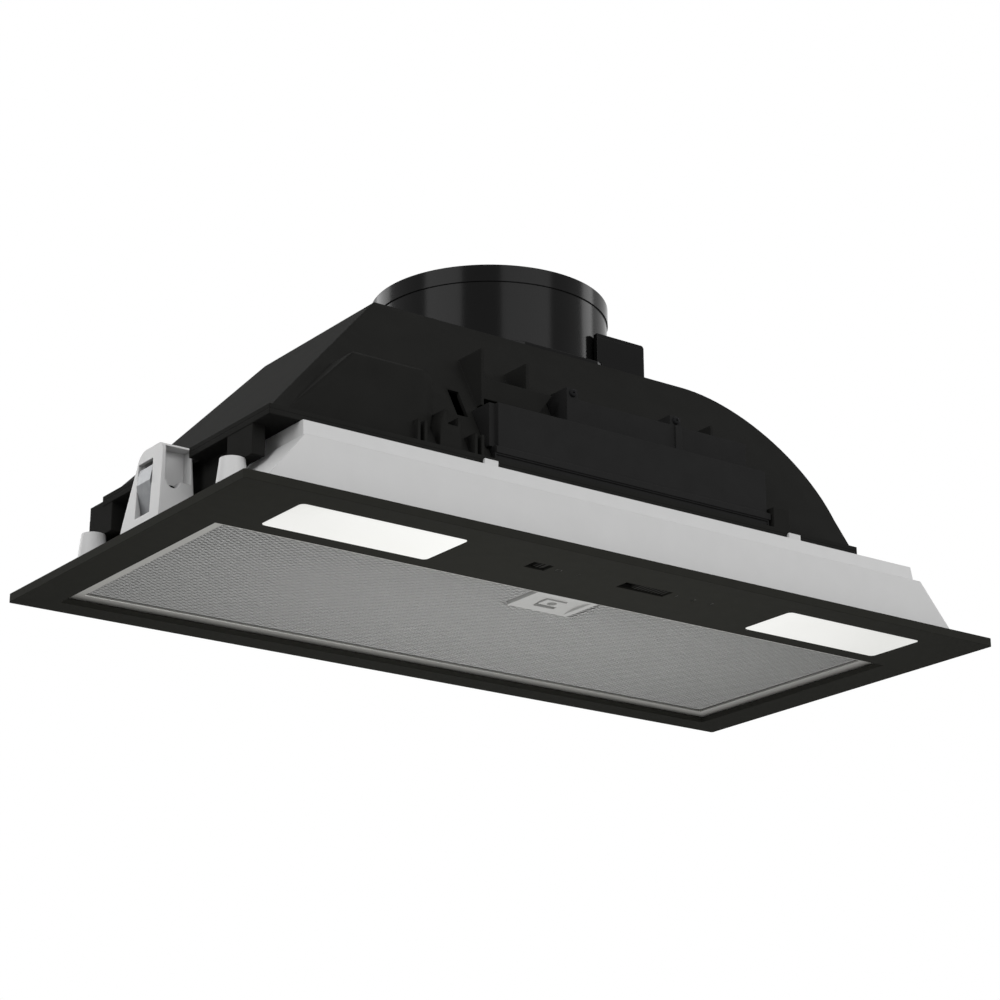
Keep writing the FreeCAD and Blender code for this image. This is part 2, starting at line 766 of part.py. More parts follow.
def left_x(z):
    """Outer face of the roof's left slope at height z."""
    return roof_left_x - (roof_height - z) * left_run


def housing_form(inset, z0, z1=roof_height):
    """Arched body, drawn in by inset: left slope, flat roof, scroll on the right, leaning front."""
    slope = inset * math.hypot(1, left_run)
    top = roof_height - inset
    radius = scroll_radius - inset
    k = radius * math.sqrt(0.5)
    right = scroll_x + scroll_radius - inset
    foot = right + foot_flare * (scroll_z - z0) / (scroll_z - deck_top)
    arch = [(left_x(z0) + slope, z0), (left_x(top) + slope, top), (scroll_x, top),
            ((scroll_x + k, scroll_z + k), (scroll_x + radius, scroll_z)), (foot, z0)]
    lean = inset / math.cos(lean_angle)
    side = [(lean_y(z0) + lean, z0), (rear_wall_y - inset, z0), (rear_wall_y - inset, top),
            (lean_y(top) + lean, top)]
    form = prism("xz", arch, lean_y(z0) - 1, rear_wall_y + 1)
    form = form.common(prism("yz", side, left_x(z0) - 1, right + 20))
    plan = housing_plan(-inset)
    form = form.common(prism("xy", plan, z0, roof_height))
    return form.cut(bracket_bay(-inset, z0))


def housing_plan(grow):
    """Plan outline from above; its rear corners step in beside the outlet."""
    left = left_x(deck_bottom) - grow - 12.0
    right = scroll_x + scroll_radius + foot_flare + grow
    front = lean_y(deck_bottom) - grow - 12.0
    turn = grow * 0.45
    return [(left, front), (right, front), (right, right_rear_y + grow - turn),
            (right_shoulder_x + turn, rear_wall_y + grow), (wing_shoulder_x - turn, rear_wall_y + grow),
            (roof_left_x - turn, wing_rear_y + grow), (left, wing_rear_y + grow)]


def bracket_bay(grow, z0):
    """Bay in the left eave that leaves room for the side bracket."""
    inner = -bracket_inner + slip - grow
    return box(-half_length - 20, inner, bracket_front - 1.5 + grow, bracket_rear + 1.5 - grow, z0 - 1,
               bracket_height + 6.0 - grow)


def flange_outline(grow, z0, z1):
    """Footprint of the arched body at the deck, grown by grow at the front and rear."""
    left = left_x(deck_top)
    right = scroll_x + scroll_radius + foot_flare
    front = lean_y(deck_top) - grow
    turn = grow * 0.45
    path = [(left, front), (right, front), (right, right_rear_y + grow - turn),
            (right_shoulder_x + turn, rear_wall_y + grow), (wing_shoulder_x - turn, rear_wall_y + grow),
            (roof_left_x - turn, wing_rear_y + grow), (left, wing_rear_y + grow)]
    return prism("xy", path, z0, z1).cut(bracket_bay(0, z0))


def lug_places():
    """Screw lugs on the housing's joint: one at the front right, two at the rear. x, y of the screw."""
    front = lean_y(deck_top + lug_height) - screw_head_radius - seat
    rear = rear_wall_y + screw_head_radius + seat
    return [(116.0, front), (-30.0, rear), (70.0, rear)]


def cheek():
    """Raised cheek on the front wall's left half: upright face, sloped left edge, rounded right end."""
    z0 = deck_top + joint_flange_height
    inset = cheek_inset * math.hypot(1, left_run)
    face = [(left_x(z0) + inset, z0), (left_x(cheek_top) + inset, cheek_top), (cheek_right_x, cheek_top),
            (cheek_right_x, z0)]
    body = prism("xz", face, cheek_front_y, roof_front_y)
    k = cheek_round * (1 - math.sqrt(0.5))
    corner = [(cheek_right_x - cheek_round, cheek_front_y - 1), (cheek_right_x + 1, cheek_front_y - 1),
              (cheek_right_x + 1, cheek_front_y + cheek_round), (cheek_right_x, cheek_front_y + cheek_round),
              ((cheek_right_x - k, cheek_front_y + k), (cheek_right_x - cheek_round, cheek_front_y))]
    body = body.cut(prism("xy", corner, z0 - 1, cheek_top + 1))
    wedge = [(cheek_front_y - 1, cheek_top - 3.0), (cheek_front_y + 3.0, cheek_top + 1),
             (cheek_front_y - 1, cheek_top + 1)]
    body = body.cut(prism("yz", wedge, left_x(z0), cheek_right_x + 1))
    return body


def wall_web(x, front, z0, z1):
    """Upright web that joins a plate standing at y = front to the leaning wall."""
    side = [(front, z0), (front, z1), (lean_y(z1) + 1, z1), (lean_y(z0) + 1, z0)]
    return prism("yz", side, x - guide_thickness / 2, x + guide_thickness / 2)


def front_details():
    """Cable guide, snap catch and pegs moulded on the leaning front wall."""
    x0, x1 = guide_x
    z0, z1 = guide_z
    inner = guide_y + guide_thickness
    plate = prism("xz", [(x0, z0), (x1 - guide_slant, z0), (x1, z1), (x0, z1)], guide_y, inner)
    shelf = box(x0, x1 - guide_slant, guide_y, lean_y(z0) + 2.0, z0, z0 + guide_thickness)
    pieces = [plate, shelf, wall_web(x0 + guide_thickness / 2, guide_y, z0 - 4.0, guide_post_top),
              wall_web(x0 + guide_pitch, guide_y, z0, guide_post_top - 2.0)]
    for x in rib_places:
        pieces.append(wall_web(x, upper_cover_y + 6.0, upper_cover_z[1] + seat,
                               upper_cover_z[1] + rib_height))
    catch = [(catch_x - 7.0, deck_top), (catch_x + 7.0, deck_top), (catch_x + 7.0, catch_top),
             (catch_x + 4.5, catch_top), (catch_x + 4.5, catch_top - 5.0), (catch_x - 2.0, catch_top - 5.0),
             (catch_x - 2.0, catch_top + 3.0), (catch_x - 4.5, catch_top + 3.0),
             (catch_x - 7.0, catch_top - 5.0)]
    pieces.append(prism("xz", catch, catch_y, lean_y(catch_top) + 4.0))
    for x in peg_places:
        pieces.append(box(x - 0.9, x + 0.9, lean_y(deck_top) - 2.5, lean_y(peg_top) + 1.0,
                          deck_top + 1.0, peg_top))
    return pieces


def upper_housing():
    outside = housing_form(0, deck_top)
    flange = flange_outline(joint_flange, deck_top, deck_top + joint_flange_height)
    outside = join([outside, flange, cheek()] + front_details())
    lugs = []
    for x, y in lug_places():
        wall = lean_y(deck_top + lug_height) + 1.0 if y < 0 else rear_wall_y - 1.0
        outer = lean_y(deck_top) - joint_flange if y < 0 else y + lug_edge
        lugs.append(box(x - lug_length / 2, x + lug_length / 2, min(wall, outer), max(wall, outer), deck_top,
                        deck_top + lug_height))
    outside = join([outside] + lugs)
    hollow = housing_form(housing_wall, deck_top - 1)
    shell = outside.cut(hollow)
    tongue_z = roof_height - housing_wall - tongue_drop
    tongue = box(tongue_x, tongue_x + tongue_thickness, scroll_front + seat, scroll_rear - seat,
                 tongue_z, roof_height - 1)
    nose = rod("y", tongue_x + tongue_thickness / 2, tongue_z, scroll_front + seat, scroll_rear - seat,
               tongue_thickness / 2)
    shell = join([shell, tongue, nose])
    shell = shell.cut(rod("z", collar_x, collar_y, roof_height - 10, roof_height + 1, collar_inner - 1.0))
    # slot beside the cheek, where the wiring passes in
    shell = shell.cut(box(slot_x[0], slot_x[1], lean_y(slot_z[0]) - 12, lean_y(slot_z[1]) + 12,
                          slot_z[0], slot_z[1]))
    for x, y in lug_places():
        shell = shell.cut(rod("z", x, y, deck_top - 1, deck_top + lug_height + 1, screw_radius + pin_play))
    for x, y in collar_screw_places():
        shell = shell.cut(rod("z", x, y, roof_height - 8, roof_height + 1, screw_radius))
    for x, y, z in cover_screw_places():
        shell = shell.cut(rod("y", x, z, y - 1, lean_y(z) + 8, screw_radius * 0.8))
    solids = sorted(shell.Solids, key=lambda s: -s.Volume)
    save("upper_housing", solids[0])


def lower_housing():
    deck = flange_outline(joint_flange, deck_bottom, deck_top)
    cover = box(-well_x, well_x, well_front, well_rear, deck_bottom, deck_top)
    well = box(-well_x, well_x, well_front, well_rear, ledge_height, deck_bottom)
    inner = box(-well_x + housing_wall, well_x - housing_wall, well_front + housing_wall,
                well_rear - housing_wall, ledge_height - 1, deck_bottom)
    flange = box(-ring_top_x + 1, ring_top_x - 1, well_front, ring_top_rear - 1, ledge_height,
                 ledge_height + housing_wall)
    pads = [box(x - lug_length / 2, x + lug_length / 2, min(y - lug_edge, y + lug_edge),
                max(y - lug_edge, y + lug_edge), deck_bottom, deck_top) for x, y in lug_places() if y > 0]
    body = join([deck, cover, well, flange] + pads).cut(inner)
    # trough: the scroll's lower part, hanging below the deck
    pipe = rod("y", wheel_x, wheel_z, scroll_front - housing_wall, scroll_rear + housing_wall,
               trough_radius + housing_wall)
    pipe = pipe.common(box(-half_length, half_length, -half_depth, half_depth, ledge_height, deck_top))
    bore = rod("y", wheel_x, wheel_z, scroll_front, scroll_rear, trough_radius)
    below = box(-half_length, half_length, -half_depth, half_depth, 0, deck_top + 1)
    body = join([body, pipe]).cut(bore.common(below))
    # intake openings in the deck, one to each side chamber
    low = chamber_x + side_plate + 4.0
    high = scroll_x + scroll_radius - 2 * housing_wall - 4.0
    for y0, y1 in ((well_front + housing_wall + 1.0, scroll_front - housing_wall - side_plate - 1.0),
                   (scroll_rear + housing_wall + side_plate + 1.0, rear_wall_y - housing_wall - 1.0)):
        body = body.cut(box(low, high, y0, y1, deck_bottom - 1, deck_top + 1))
    # bay for the side bracket, and the eave's lugs
    lugs = [box(-well_x - eave_box_reach, -well_x - inner_gap, y0, y1, eave_box_bottom, deck_top)
            for y0, y1, inner_gap in eave_boxes]
    body = join([body] + lugs)
    for side in (-1, 1):
        bay = box(bracket_inner - slip, half_length, bracket_front - 1.5, bracket_rear + 1.5,
                  ledge_height - 1, deck_top + 1)
        body = body.cut(bay if side > 0 else mirror_x(bay))
    for x, y in lug_places():
        body = body.cut(rod("z", x, y, deck_bottom - 1, deck_top + 1, screw_radius))
    for x, y in frame_screw_places():
        body = body.cut(rod("z", x, y, ledge_height - 1, ledge_height + housing_wall + 1,
                            screw_radius + seat))
    save("lower_housing", body)


# ---- scroll plates, fan and motor ----
def scroll_plates():
    inside = housing_form(housing_wall + seat, deck_top + seat)
    for name, face, outward in (("front", scroll_front, -1), ("rear", scroll_rear, 1)):
        far = face + outward * side_plate
        low, high = min(face, far), max(face, far)
        plate = box(chamber_x, half_length, low, high, deck_top, roof_height)
        end = outward * half_depth
        wing = box(chamber_x, chamber_x + side_plate, min(low, end), max(high, end), deck_top, roof_height)
        plate = join([plate, wing]).common(inside)
        plate = plate.cut(rod("y", wheel_x, wheel_z, low - 1, high + 1, inlet_radius))
        plate = plate.cut(box(tongue_x - seat, tongue_x + tongue_thickness + seat, low - 1, high + 1,
                              roof_height - housing_wall - seat, roof_height))
        for x, z in bracket_feet():
            plate = plate.cut(rod("y", x, z, low - 1, high + 1, screw_radius))
        save("scroll_plate_" + name, plate.removeSplitter())
        inlet = inlet_ring(far, outward)
        save("inlet_ring_" + name, inlet)


def inlet_ring(face, outward):
    """Bell mouth standing on a scroll plate: a turned profile round the wheel's axis."""
    r0 = inlet_radius - 1.8
    r1 = inlet_radius + inlet_flare
    h = inlet_height * outward
    t = 1.6
    r2 = inlet_radius - seat / 2
    points = [(r0, face - outward * side_plate), (r0, face + h * 0.4), (r1, face + h),
              (r1, face + h - outward * t), (r2, face + h * 0.3), (r2, face - outward * side_plate)]
    corners = [FreeCAD.Vector(wheel_x + r, y, wheel_z) for r, y in points]
    wire = Part.makePolygon(corners + [corners[0]])
    centre = FreeCAD.Vector(wheel_x, 0, wheel_z)
    return Part.Face(wire).revolve(centre, FreeCAD.Vector(0, 1, 0), 360)


def bracket_feet():
    """Three feet of the motor bracket on the front scroll plate."""
    places = []
    for i in range(3):
        angle = math.radians(90 + 120 * i)
        places.append((wheel_x + bracket_reach * math.cos(angle), wheel_z + bracket_reach * math.sin(angle)))
    return places


def motor():
    body = rod("y", wheel_x, wheel_z, motor_front, motor_rear, motor_radius)
    cap = rod("y", wheel_x, wheel_z, motor_front - motor_cap_length, motor_front, motor_cap_radius)
    nose = rod("y", wheel_x, wheel_z, motor_rear, motor_rear + 3.0, hub_radius)
    shape = join([body, cap, nose])
    shape = shape.makeChamfer(2.0, [e for e in shape.Edges if is_ring(e, motor_radius)])
    bore = rod("y", wheel_x, wheel_z, motor_front, motor_rear + 4, shaft_radius + pin_play)
    save("motor", shape.cut(bore))
    tip = wheel_y + hub_length / 2
    save("motor_shaft", rod("y", wheel_x, wheel_z, motor_front + 2.0, tip, shaft_radius))
    # bracket: a clamp ring with three arms to the front scroll plate
    face = scroll_front - side_plate
    low = face - inlet_height - bracket_stand_off - bracket_width
    high = low + bracket_width
    ring_outer = motor_radius + bracket_ring
    hoop = rod("y", wheel_x, wheel_z, low, high, ring_outer).cut(rod("y", wheel_x, wheel_z, low - 1, high + 1,
                                                                     motor_radius))
    pieces = [hoop]
    for x, z in bracket_feet():
        angle = math.degrees(math.atan2(z - wheel_z, x - wheel_x))
        arm = box(wheel_x + motor_radius + 1.0, wheel_x + bracket_reach, low, low + 3.0,
                  wheel_z - bracket_arm / 2, wheel_z + bracket_arm / 2)
        arm.rotate(FreeCAD.Vector(wheel_x, 0, wheel_z), FreeCAD.Vector(0, 1, 0), -angle)
        pieces.append(arm)
        pieces.append(rod("y", x, z, low, face - 2.0, mount_stub_radius))
    spider = join(pieces)
    grommets = []
    for x, z in bracket_feet():
        spider = spider.cut(rod("y", x, z, low - 1, face + 1, screw_radius))
        pad = rod("y", x, z, face - 2.0, face, mount_stub_radius)
        grommets.append(pad.cut(rod("y", x, z, face - 3, face + 1, screw_radius)))
    save("motor_bracket", spider)
    save("motor_grommets", Part.makeCompound(grommets))
    screws = [screw("y", x, z, low, face + side_plate, -1) for x, z in bracket_feet()]
    save("bracket_screws", Part.makeCompound(screws))


def is_ring(edge, radius):
    return isinstance(edge.Curve, Part.Circle) and abs(edge.Curve.Radius - radius) < 0.01


def blade_path(turn):
    """Forward-curved blade section in three flats of even thickness, concave side forward."""
    middle = wheel_radius - blade_rim_gap - blade_depth / 2
    inner = blade_arc - blade_thickness / 2
    outer = blade_arc + blade_thickness / 2
    swing = math.radians(blade_swing)

    def at(radius, angle):
        u = middle + radius * math.sin(angle)
        v = blade_arc - radius * math.cos(angle)
        return (wheel_x + u * math.cos(turn) - v * math.sin(turn),
                wheel_z + u * math.sin(turn) + v * math.cos(turn))

    turns = (-swing, -swing / 3, swing / 3, swing)
    return [at(inner, a) for a in turns] + [at(outer, a) for a in turns[::-1]]


def impeller():
    low = wheel_y - wheel_width / 2
    high = wheel_y + wheel_width / 2
    inner = wheel_radius - blade_depth
    pieces = [rod("y", wheel_x, wheel_z, wheel_y - wheel_disc / 2, wheel_y + wheel_disc / 2, wheel_radius)]
    for y in (low, high - wheel_ring):
        hoop = rod("y", wheel_x, wheel_z, y, y + wheel_ring, wheel_radius)
        hole = rod("y", wheel_x, wheel_z, y - 1, y + wheel_ring + 1, inner + blade_depth * 0.35)
        pieces.append(hoop.cut(hole))
    for i in range(blade_count):
        turn = 2 * math.pi * i / blade_count
        pieces.append(prism("xz", blade_path(turn), low + wheel_ring / 2, high - wheel_ring / 2))
    pieces.append(rod("y", wheel_x, wheel_z, wheel_y - hub_length / 2, wheel_y + hub_length / 2, hub_radius))
    wheel = pieces[0].multiFuse(pieces[1:])
    wheel = wheel.cut(rod("y", wheel_x, wheel_z, low - 1, high + 1, shaft_radius))
    save("impeller", wheel.Solids[0])


# ---- outlet collar ----
def collar_screw_places():
    radius = (collar_radius + collar_flange_radius) / 2
    return [(collar_x + radius * math.cos(math.radians(a)), collar_y + radius * math.sin(math.radians(a)))
            for a in (0, 60, 135, 225)]


def outlet_collar():
    tube = rod("z", collar_x, collar_y, roof_height, collar_top, collar_radius - collar_step)
    band = rod("z", collar_x, collar_y, collar_top - collar_band, collar_top, collar_radius)
    flange = rod("z", collar_x, collar_y, roof_height, roof_height + collar_flange, collar_flange_radius)
    flange = flange.common(box(-half_length, half_length, roof_front_y + seat, rear_wall_y - seat,
                               roof_height, roof_height + collar_flange))
    shape = join([tube, band, flange])
    shape = shape.cut(rod("z", collar_x, collar_y, roof_height - 1, collar_top + 1, collar_inner))
    ledge_top = flap_z - flap_thickness / 2 - seat
    stop = rod("z", collar_x, collar_y, ledge_top - 2.0, ledge_top, collar_inner + 1)
    stop = stop.cut(rod("z", collar_x, collar_y, ledge_top - 3, ledge_top + 1, collar_inner - flap_rest))
    bosses = []
    for end in (-1, 1):
        y_out = collar_y + end * (collar_inner + 1.0)
        y_in = collar_y + end * (collar_inner - 5.0)
        bosses.append(rod("y", collar_x, flap_z, min(y_in, y_out), max(y_in, y_out), knuckle_radius + 1.0))
    shape = join([shape, stop] + bosses)
    shape = shape.cut(rod("y", collar_x, flap_z, collar_y - collar_inner - 0.5, collar_y + collar_inner + 0.5,
                          flap_pin_radius))
    for x, y in collar_screw_places():
        shape = shape.cut(rod("z", x, y, roof_height - 1, roof_height + 5, screw_radius + pin_play))
    save("outlet_collar", shape)
    save("damper_pin", rod("y", collar_x, flap_z, collar_y - collar_inner - 0.4,
                           collar_y + collar_inner + 0.4, flap_pin_radius))
    screws = [screw("z", x, y, roof_height - screw_bite, roof_height + collar_flange, 1, 0.7)
              for x, y in collar_screw_places()]
    save("collar_screws", Part.makeCompound(screws))


def damper_flaps():
    radius = collar_inner - flap_gap
    reach = collar_inner - 5.0 - 2 * seat
    for side, name in ((-1, "left"), (1, "right")):
        disc = rod("z", collar_x, collar_y, flap_z - flap_thickness / 2, flap_z + flap_thickness / 2, radius)
        edge = collar_x + side * flap_split
        far = collar_x + side * (radius + 1)
        half = disc.common(box(min(edge, far), max(edge, far), collar_y - radius, collar_y + radius,
                               flap_z - 5, flap_z + 5))
        pieces = [half]
        # knuckles: two for the left flap at the ends, two for the right flap nearer the middle
        centre = reach - knuckle_length / 2 if side < 0 else reach - knuckle_length * 1.5 - seat
        knuckles = []
        for end in (-1, 1):
            y = collar_y + end * centre
            barrel = rod("y", collar_x, flap_z, y - knuckle_length / 2, y + knuckle_length / 2,
                         knuckle_radius)
            web = box(min(collar_x, edge + side), max(collar_x, edge + side), y - knuckle_length / 2,
                      y + knuckle_length / 2, flap_z - flap_thickness / 2, flap_z + flap_thickness / 2)
            knuckles += [barrel, web]
        flap = join(pieces + knuckles)
        flap = flap.cut(rod("y", collar_x, flap_z, collar_y - radius, collar_y + radius,
                            flap_pin_radius + pin_play))
        save("damper_flap_" + name, flap)


# ---- junction box ----
def junction_box():
    x0, x1 = junction_x
    y0, y1 = junction_y
    z0 = roof_height
    z1 = roof_height + junction_height - junction_lid
    floor = z0 + collar_flange + seat + junction_wall
    keep_out = rod("z", collar_x, collar_y, z0 - 1, z1 + 10, collar_radius + slip)
    keep_out = keep_out.fuse(rod("z", collar_x, collar_y, z0 - 1, z0 + collar_flange + seat,
                                 collar_flange_radius + seat))
    body = box(x0, x1, y0, y1, z0, z1).cut(keep_out)
    hollow = box(x0 + junction_wall, x1 - junction_wall, y0 + junction_wall, y1 - junction_wall,
                 floor, z1 + 1)
    hollow = hollow.cut(rod("z", collar_x, collar_y, z0 - 1, z1 + 10, collar_radius + slip + junction_wall))
    shell = body.cut(hollow)
    shell = shell.cut(rod("x", cable_y, cable_z, x1 - junction_wall - 1, x1 + 1, cable_radius))
    save("junction_box", shell.Solids[0])
    k = junction_corner * (1 - math.sqrt(0.5))
    top = z1 + junction_lid
    face = [(x0, z1), (x1, z1), (x1, top - junction_corner / 2),
            ((x1 - k / 2, top - k / 2), (x1 - junction_corner / 2, top)), (x0, top)]
    lid = prism("xz", face, y0, y1).cut(keep_out)
    save("junction_lid", lid.Solids[0])
    high = x1 - junction_wall - slip
    low = high - terminal_length
    near = y0 + junction_wall + slip
    block = box(low, high, near, near + terminal_depth, floor, floor + terminal_height - 2)
    teeth = []
    for i in range(3):
        x = low + 0.8 + i * terminal_length / 3
        teeth.append(box(x, x + terminal_length / 3 - 1.6, near + 1, near + terminal_depth - 1,
                         floor + terminal_height - 2, floor + terminal_height))
    save("terminal_block", join([block] + teeth))


# ---- electronics covers ----
def cover_screw_places():
    """Screw towers of the two front covers: x, outer end, z."""
    first = upper_cover_x[0] + cover_tower_inset
    return [(x, upper_cover_y, upper_cover_z[1] + 3.0) for x in (first, first + cover_tower_pitch)]


def wedge_cover(xs, zs, front):
    """Box cover whose open back lies on the leaning wall."""
    back = [(lean_y(zs[0]) - seat, zs[0]), (front, zs[0]), (front, zs[1]), (lean_y(zs[1]) - seat, zs[1])]
    outer = prism("yz", back, xs[0], xs[1])
    w = cover_wall
    inner = [(lean_y(zs[0] + w) + 3, zs[0] + w), (front + w, zs[0] + w), (front + w, zs[1] - w),
             (lean_y(zs[1] - w) + 3, zs[1] - w)]
    return outer, prism("yz", inner, xs[0] + w, xs[1] - w)


def electronics():
    outer, inner = wedge_cover(lower_cover_x, lower_cover_z, lower_cover_y)
    z0 = lower_cover_z[0]
    lip_z = z0 - lower_cover_lip
    lip = [(lean_y(lip_z) - seat, lip_z), (lower_cover_y - 1.2, lip_z), (lower_cover_y - 1.2, z0 - 0.8),
           (lower_cover_y, z0), (lean_y(z0) - seat, z0)]
    lip = prism("yz", lip, lower_cover_x[0] - 2.0, lower_cover_x[1] + 2.0)
    rib_x = lower_cover_x[0] - 4.0
    rib = [(lean_y(z0) - seat, z0), (lower_cover_y + 3.0, z0), (lower_cover_y + 3.0, lower_cover_z[1]),
           (lean_y(lower_cover_z[1]) - seat, lower_cover_z[1])]
    rib = prism("yz", rib, rib_x, rib_x + 4.5)
    save("control_cover", join([outer, lip, rib]).cut(inner))
    outer, inner = wedge_cover(upper_cover_x, upper_cover_z, upper_cover_y)
    pieces = [outer]
    for x, y, z in cover_screw_places():
        low, high = z - 4.0, z + 3.0
        side = [(lean_y(low) - seat, low), (y, low), (y, high), (lean_y(high) - seat, high)]
        pieces.append(prism("yz", side, x - 4.0, x + 4.0))
    mid = upper_cover_x[0] + cover_tower_inset + cover_tower_pitch
    pieces.append(box(mid - 1.0, mid + 4.0, upper_cover_y - 1.2, upper_cover_y + 3.0, upper_cover_z[0],
                      upper_cover_z[1]))
    cover = join(pieces).cut(inner)
    for x, y, z in cover_screw_places():
        cover = cover.cut(rod("y", x, z, y - 1, lean_y(z) + 6, screw_radius * 0.8 + pin_play))
    save("supply_cover", cover)
    screws = [screw("y", x, z, y, lean_y(z) + screw_bite, -1, 0.8) for x, y, z in cover_screw_places()]
    save("cover_screws", Part.makeCompound(screws))
    # board behind the lower cover
    x = (lower_cover_x[0] + lower_cover_x[1]) / 2
    top = lower_cover_z[1] - cover_wall - seat
    y = lower_cover_y + cover_wall + 3.0
    board = box(x - pcb_length / 2, x + pcb_length / 2, y, y + board_thickness, top - pcb_height, top)
    parts = [board]
    for dx in relay_places:
        parts.append(box(x + dx, x + dx + relay_size * 1.6, y - relay_rise, y, top - relay_size, top - 1.5))
    rear = y + board_thickness
    parts.append(box(x + plug_x[0], x + plug_x[1], rear, rear + plug_depth, top - 1 - plug_height, top - 1))
    save("control_board", join(parts))


def capacitor():
    z = sheet + seat + control_box_height + control_box_wall + capacitor_radius + seat
    y = window_y + 6.0
    can = rod("x", y, z, 0, capacitor_length, capacitor_radius)
    can = can.makeChamfer(1.0, [e for e in can.Edges if is_ring(e, capacitor_radius)])
    tabs = [box(-6.0, 1.0, y + d - 0.4, y + d + 0.4, z - 3, z + 3) for d in (-4.0, 4.0)]
    shape = join([can] + tabs)
    shape.translate(FreeCAD.Vector(-capacitor_length * 0.9, 0, 0))
    save("capacitor", shape)


# ---- side brackets ----
def bracket_outline(inset):
    """Side of the tower: upright front, rounded crown, rear edge that tapers to the top."""
    z0 = sheet + flange_thickness
    top = bracket_height - inset
    r = 5.0
    k = r * (1 - math.sqrt(0.5))
    front = bracket_front + inset
    head = bracket_front + bracket_crown - inset
    foot = z0 - 1 if inset else z0
    return [(front, foot), (bracket_rear - inset, foot), (bracket_rear - 3.0 - inset, z0 + 12.0),
            (head + r, top - r * 1.4), ((head + k, top - k * 1.2), (head - r, top)), (front + r, top),
            ((front + k, top - k), (front, top - r))]


def side_bracket_solid():
    """Right-hand bracket: a hollow tower over the frame's side, with a window for its spring clip."""
    outer_top = bracket_outer - bracket_lean
    inner_top = bracket_inner + bracket_inner_lean
    z0 = sheet + flange_thickness
    ends = [(bracket_inner, z0), (bracket_outer, z0), (outer_top, bracket_height),
            (inner_top, bracket_height)]
    body = prism("yz", bracket_outline(0), bracket_inner, bracket_outer)
    body = body.common(prism("xz", ends, bracket_front - 1, bracket_rear + 1))
    core_ends = [(bracket_inner + bracket_wall, z0 - 1), (outer_top - bracket_wall, z0 - 1),
                 (outer_top - bracket_wall, bracket_height), (inner_top + bracket_wall, bracket_height)]
    core = prism("yz", bracket_outline(bracket_wall), bracket_inner, bracket_outer)
    core = core.common(prism("xz", core_ends, bracket_front, bracket_rear))
    # pocket in the front face, its floor dished round the fixing hole
    x0 = bracket_inner + bracket_inner_lean
    x1 = outer_top - pocket_edge
    pocket_rear = bracket_front + pocket_depth
    pocket = box(x0, x1, bracket_front - 1, pocket_rear, pocket_floor, bracket_height - 2.5)
    dish = rod("y", fix_x, pocket_floor, bracket_front - 1, pocket_rear, pocket_dish)
    dish = dish.fuse(rod("z", fix_x, fix_y, fix_ledge, pocket_floor, screw_head_radius + seat))
    lining = box(x0 - bracket_wall, outer_top, bracket_front, pocket_rear + bracket_wall,
                 pocket_floor - pocket_dish - bracket_wall, bracket_height)
    body = body.cut(core.cut(lining)).cut(pocket).cut(dish)
    body = body.cut(ring(-seat, 0)).cut(box(0, half_length, -half_depth, half_depth, 0, z0))
    # the clip's window in the outer face
    return body.cut(box(outer_top - bracket_wall - 1, bracket_outer + 1, clip_y - window_width / 2,
                        clip_y + window_width / 2, window_bottom, window_top))


def side_brackets():
    right = side_bracket_solid()
    right = right.cut(rod("z", fix_x, fix_y, fix_ledge - bracket_wall - 1, pocket_floor,
                          screw_radius + pin_play))
    right = sorted(right.Solids, key=lambda s: -s.Volume)[0]
    save("side_bracket_right", right)
    save("side_bracket_left", mirror_x(right))
    clip = clip_solid()
    save("spring_clip_right", clip)
    save("spring_clip_left", mirror_x(clip))


def clip_solid():
    """Bent steel strip: rolled foot behind the window's sill, bulge out through the window."""
    half = window_width / 2 - slip
    x = clip_x
    z0 = clip_z
    z1 = window_top - clip_top_gap
    mid = z0 + (z1 - z0) * 0.72
    t = clip_thickness
    sill = window_bottom + 1.0
    path = [(x - t, z0), (x, z0), (x, sill), (x + clip_bulge, mid), (x + clip_bulge - 1.5, z1),
            (x + clip_bulge - 1.5 - t, z1), (x + clip_bulge - t * 1.2, mid), (x - t, sill)]
    strip = prism("xz", path, clip_y - half, clip_y + half)
    roll = rod("y", x - clip_roll, z0, clip_y - half, clip_y + half, clip_roll)
    return join([strip, roll])


# ---- screws ----
def screw(axis, u, v, low, high, head_end, scale=1.0):
    """Pan-head screw from low to high; the head stands past the end that head_end names."""
    radius = screw_radius * scale
    shank = rod(axis, u, v, low, high, radius)
    if head_end > 0:
        head = rod(axis, u, v, high, high + screw_head_height * scale, screw_head_radius * scale)
    else:
        head = rod(axis, u, v, low - screw_head_height * scale, low, screw_head_radius * scale)
    return join([shank, head])


def screws():
    group = [screw("z", x, y, deck_bottom, deck_top + lug_height, 1) for x, y in lug_places()]
    save("housing_screws", Part.makeCompound(group))
    group = [screw("z", x, y, ledge_height - 4.0, ledge_height + housing_wall, 1)
             for x, y in frame_screw_places()]
    save("frame_screws", Part.makeCompound(group))
    group = [screw("z", side * fix_x, fix_y, fix_foot, fix_ledge, 1) for side in (-1, 1)]
    save("bracket_fix_screws", Part.makeCompound(group))


trim_plate()
base_frame()
lamps()
controls()
grease_filter()
filter_latch()
upper_housing()
lower_housing()
scroll_plates()
motor()
impeller()
outlet_collar()
damper_flaps()
junction_box()
electronics()
capacitor()
side_brackets()
screws()
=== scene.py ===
import math

import bpy
from mathutils import Matrix, Vector


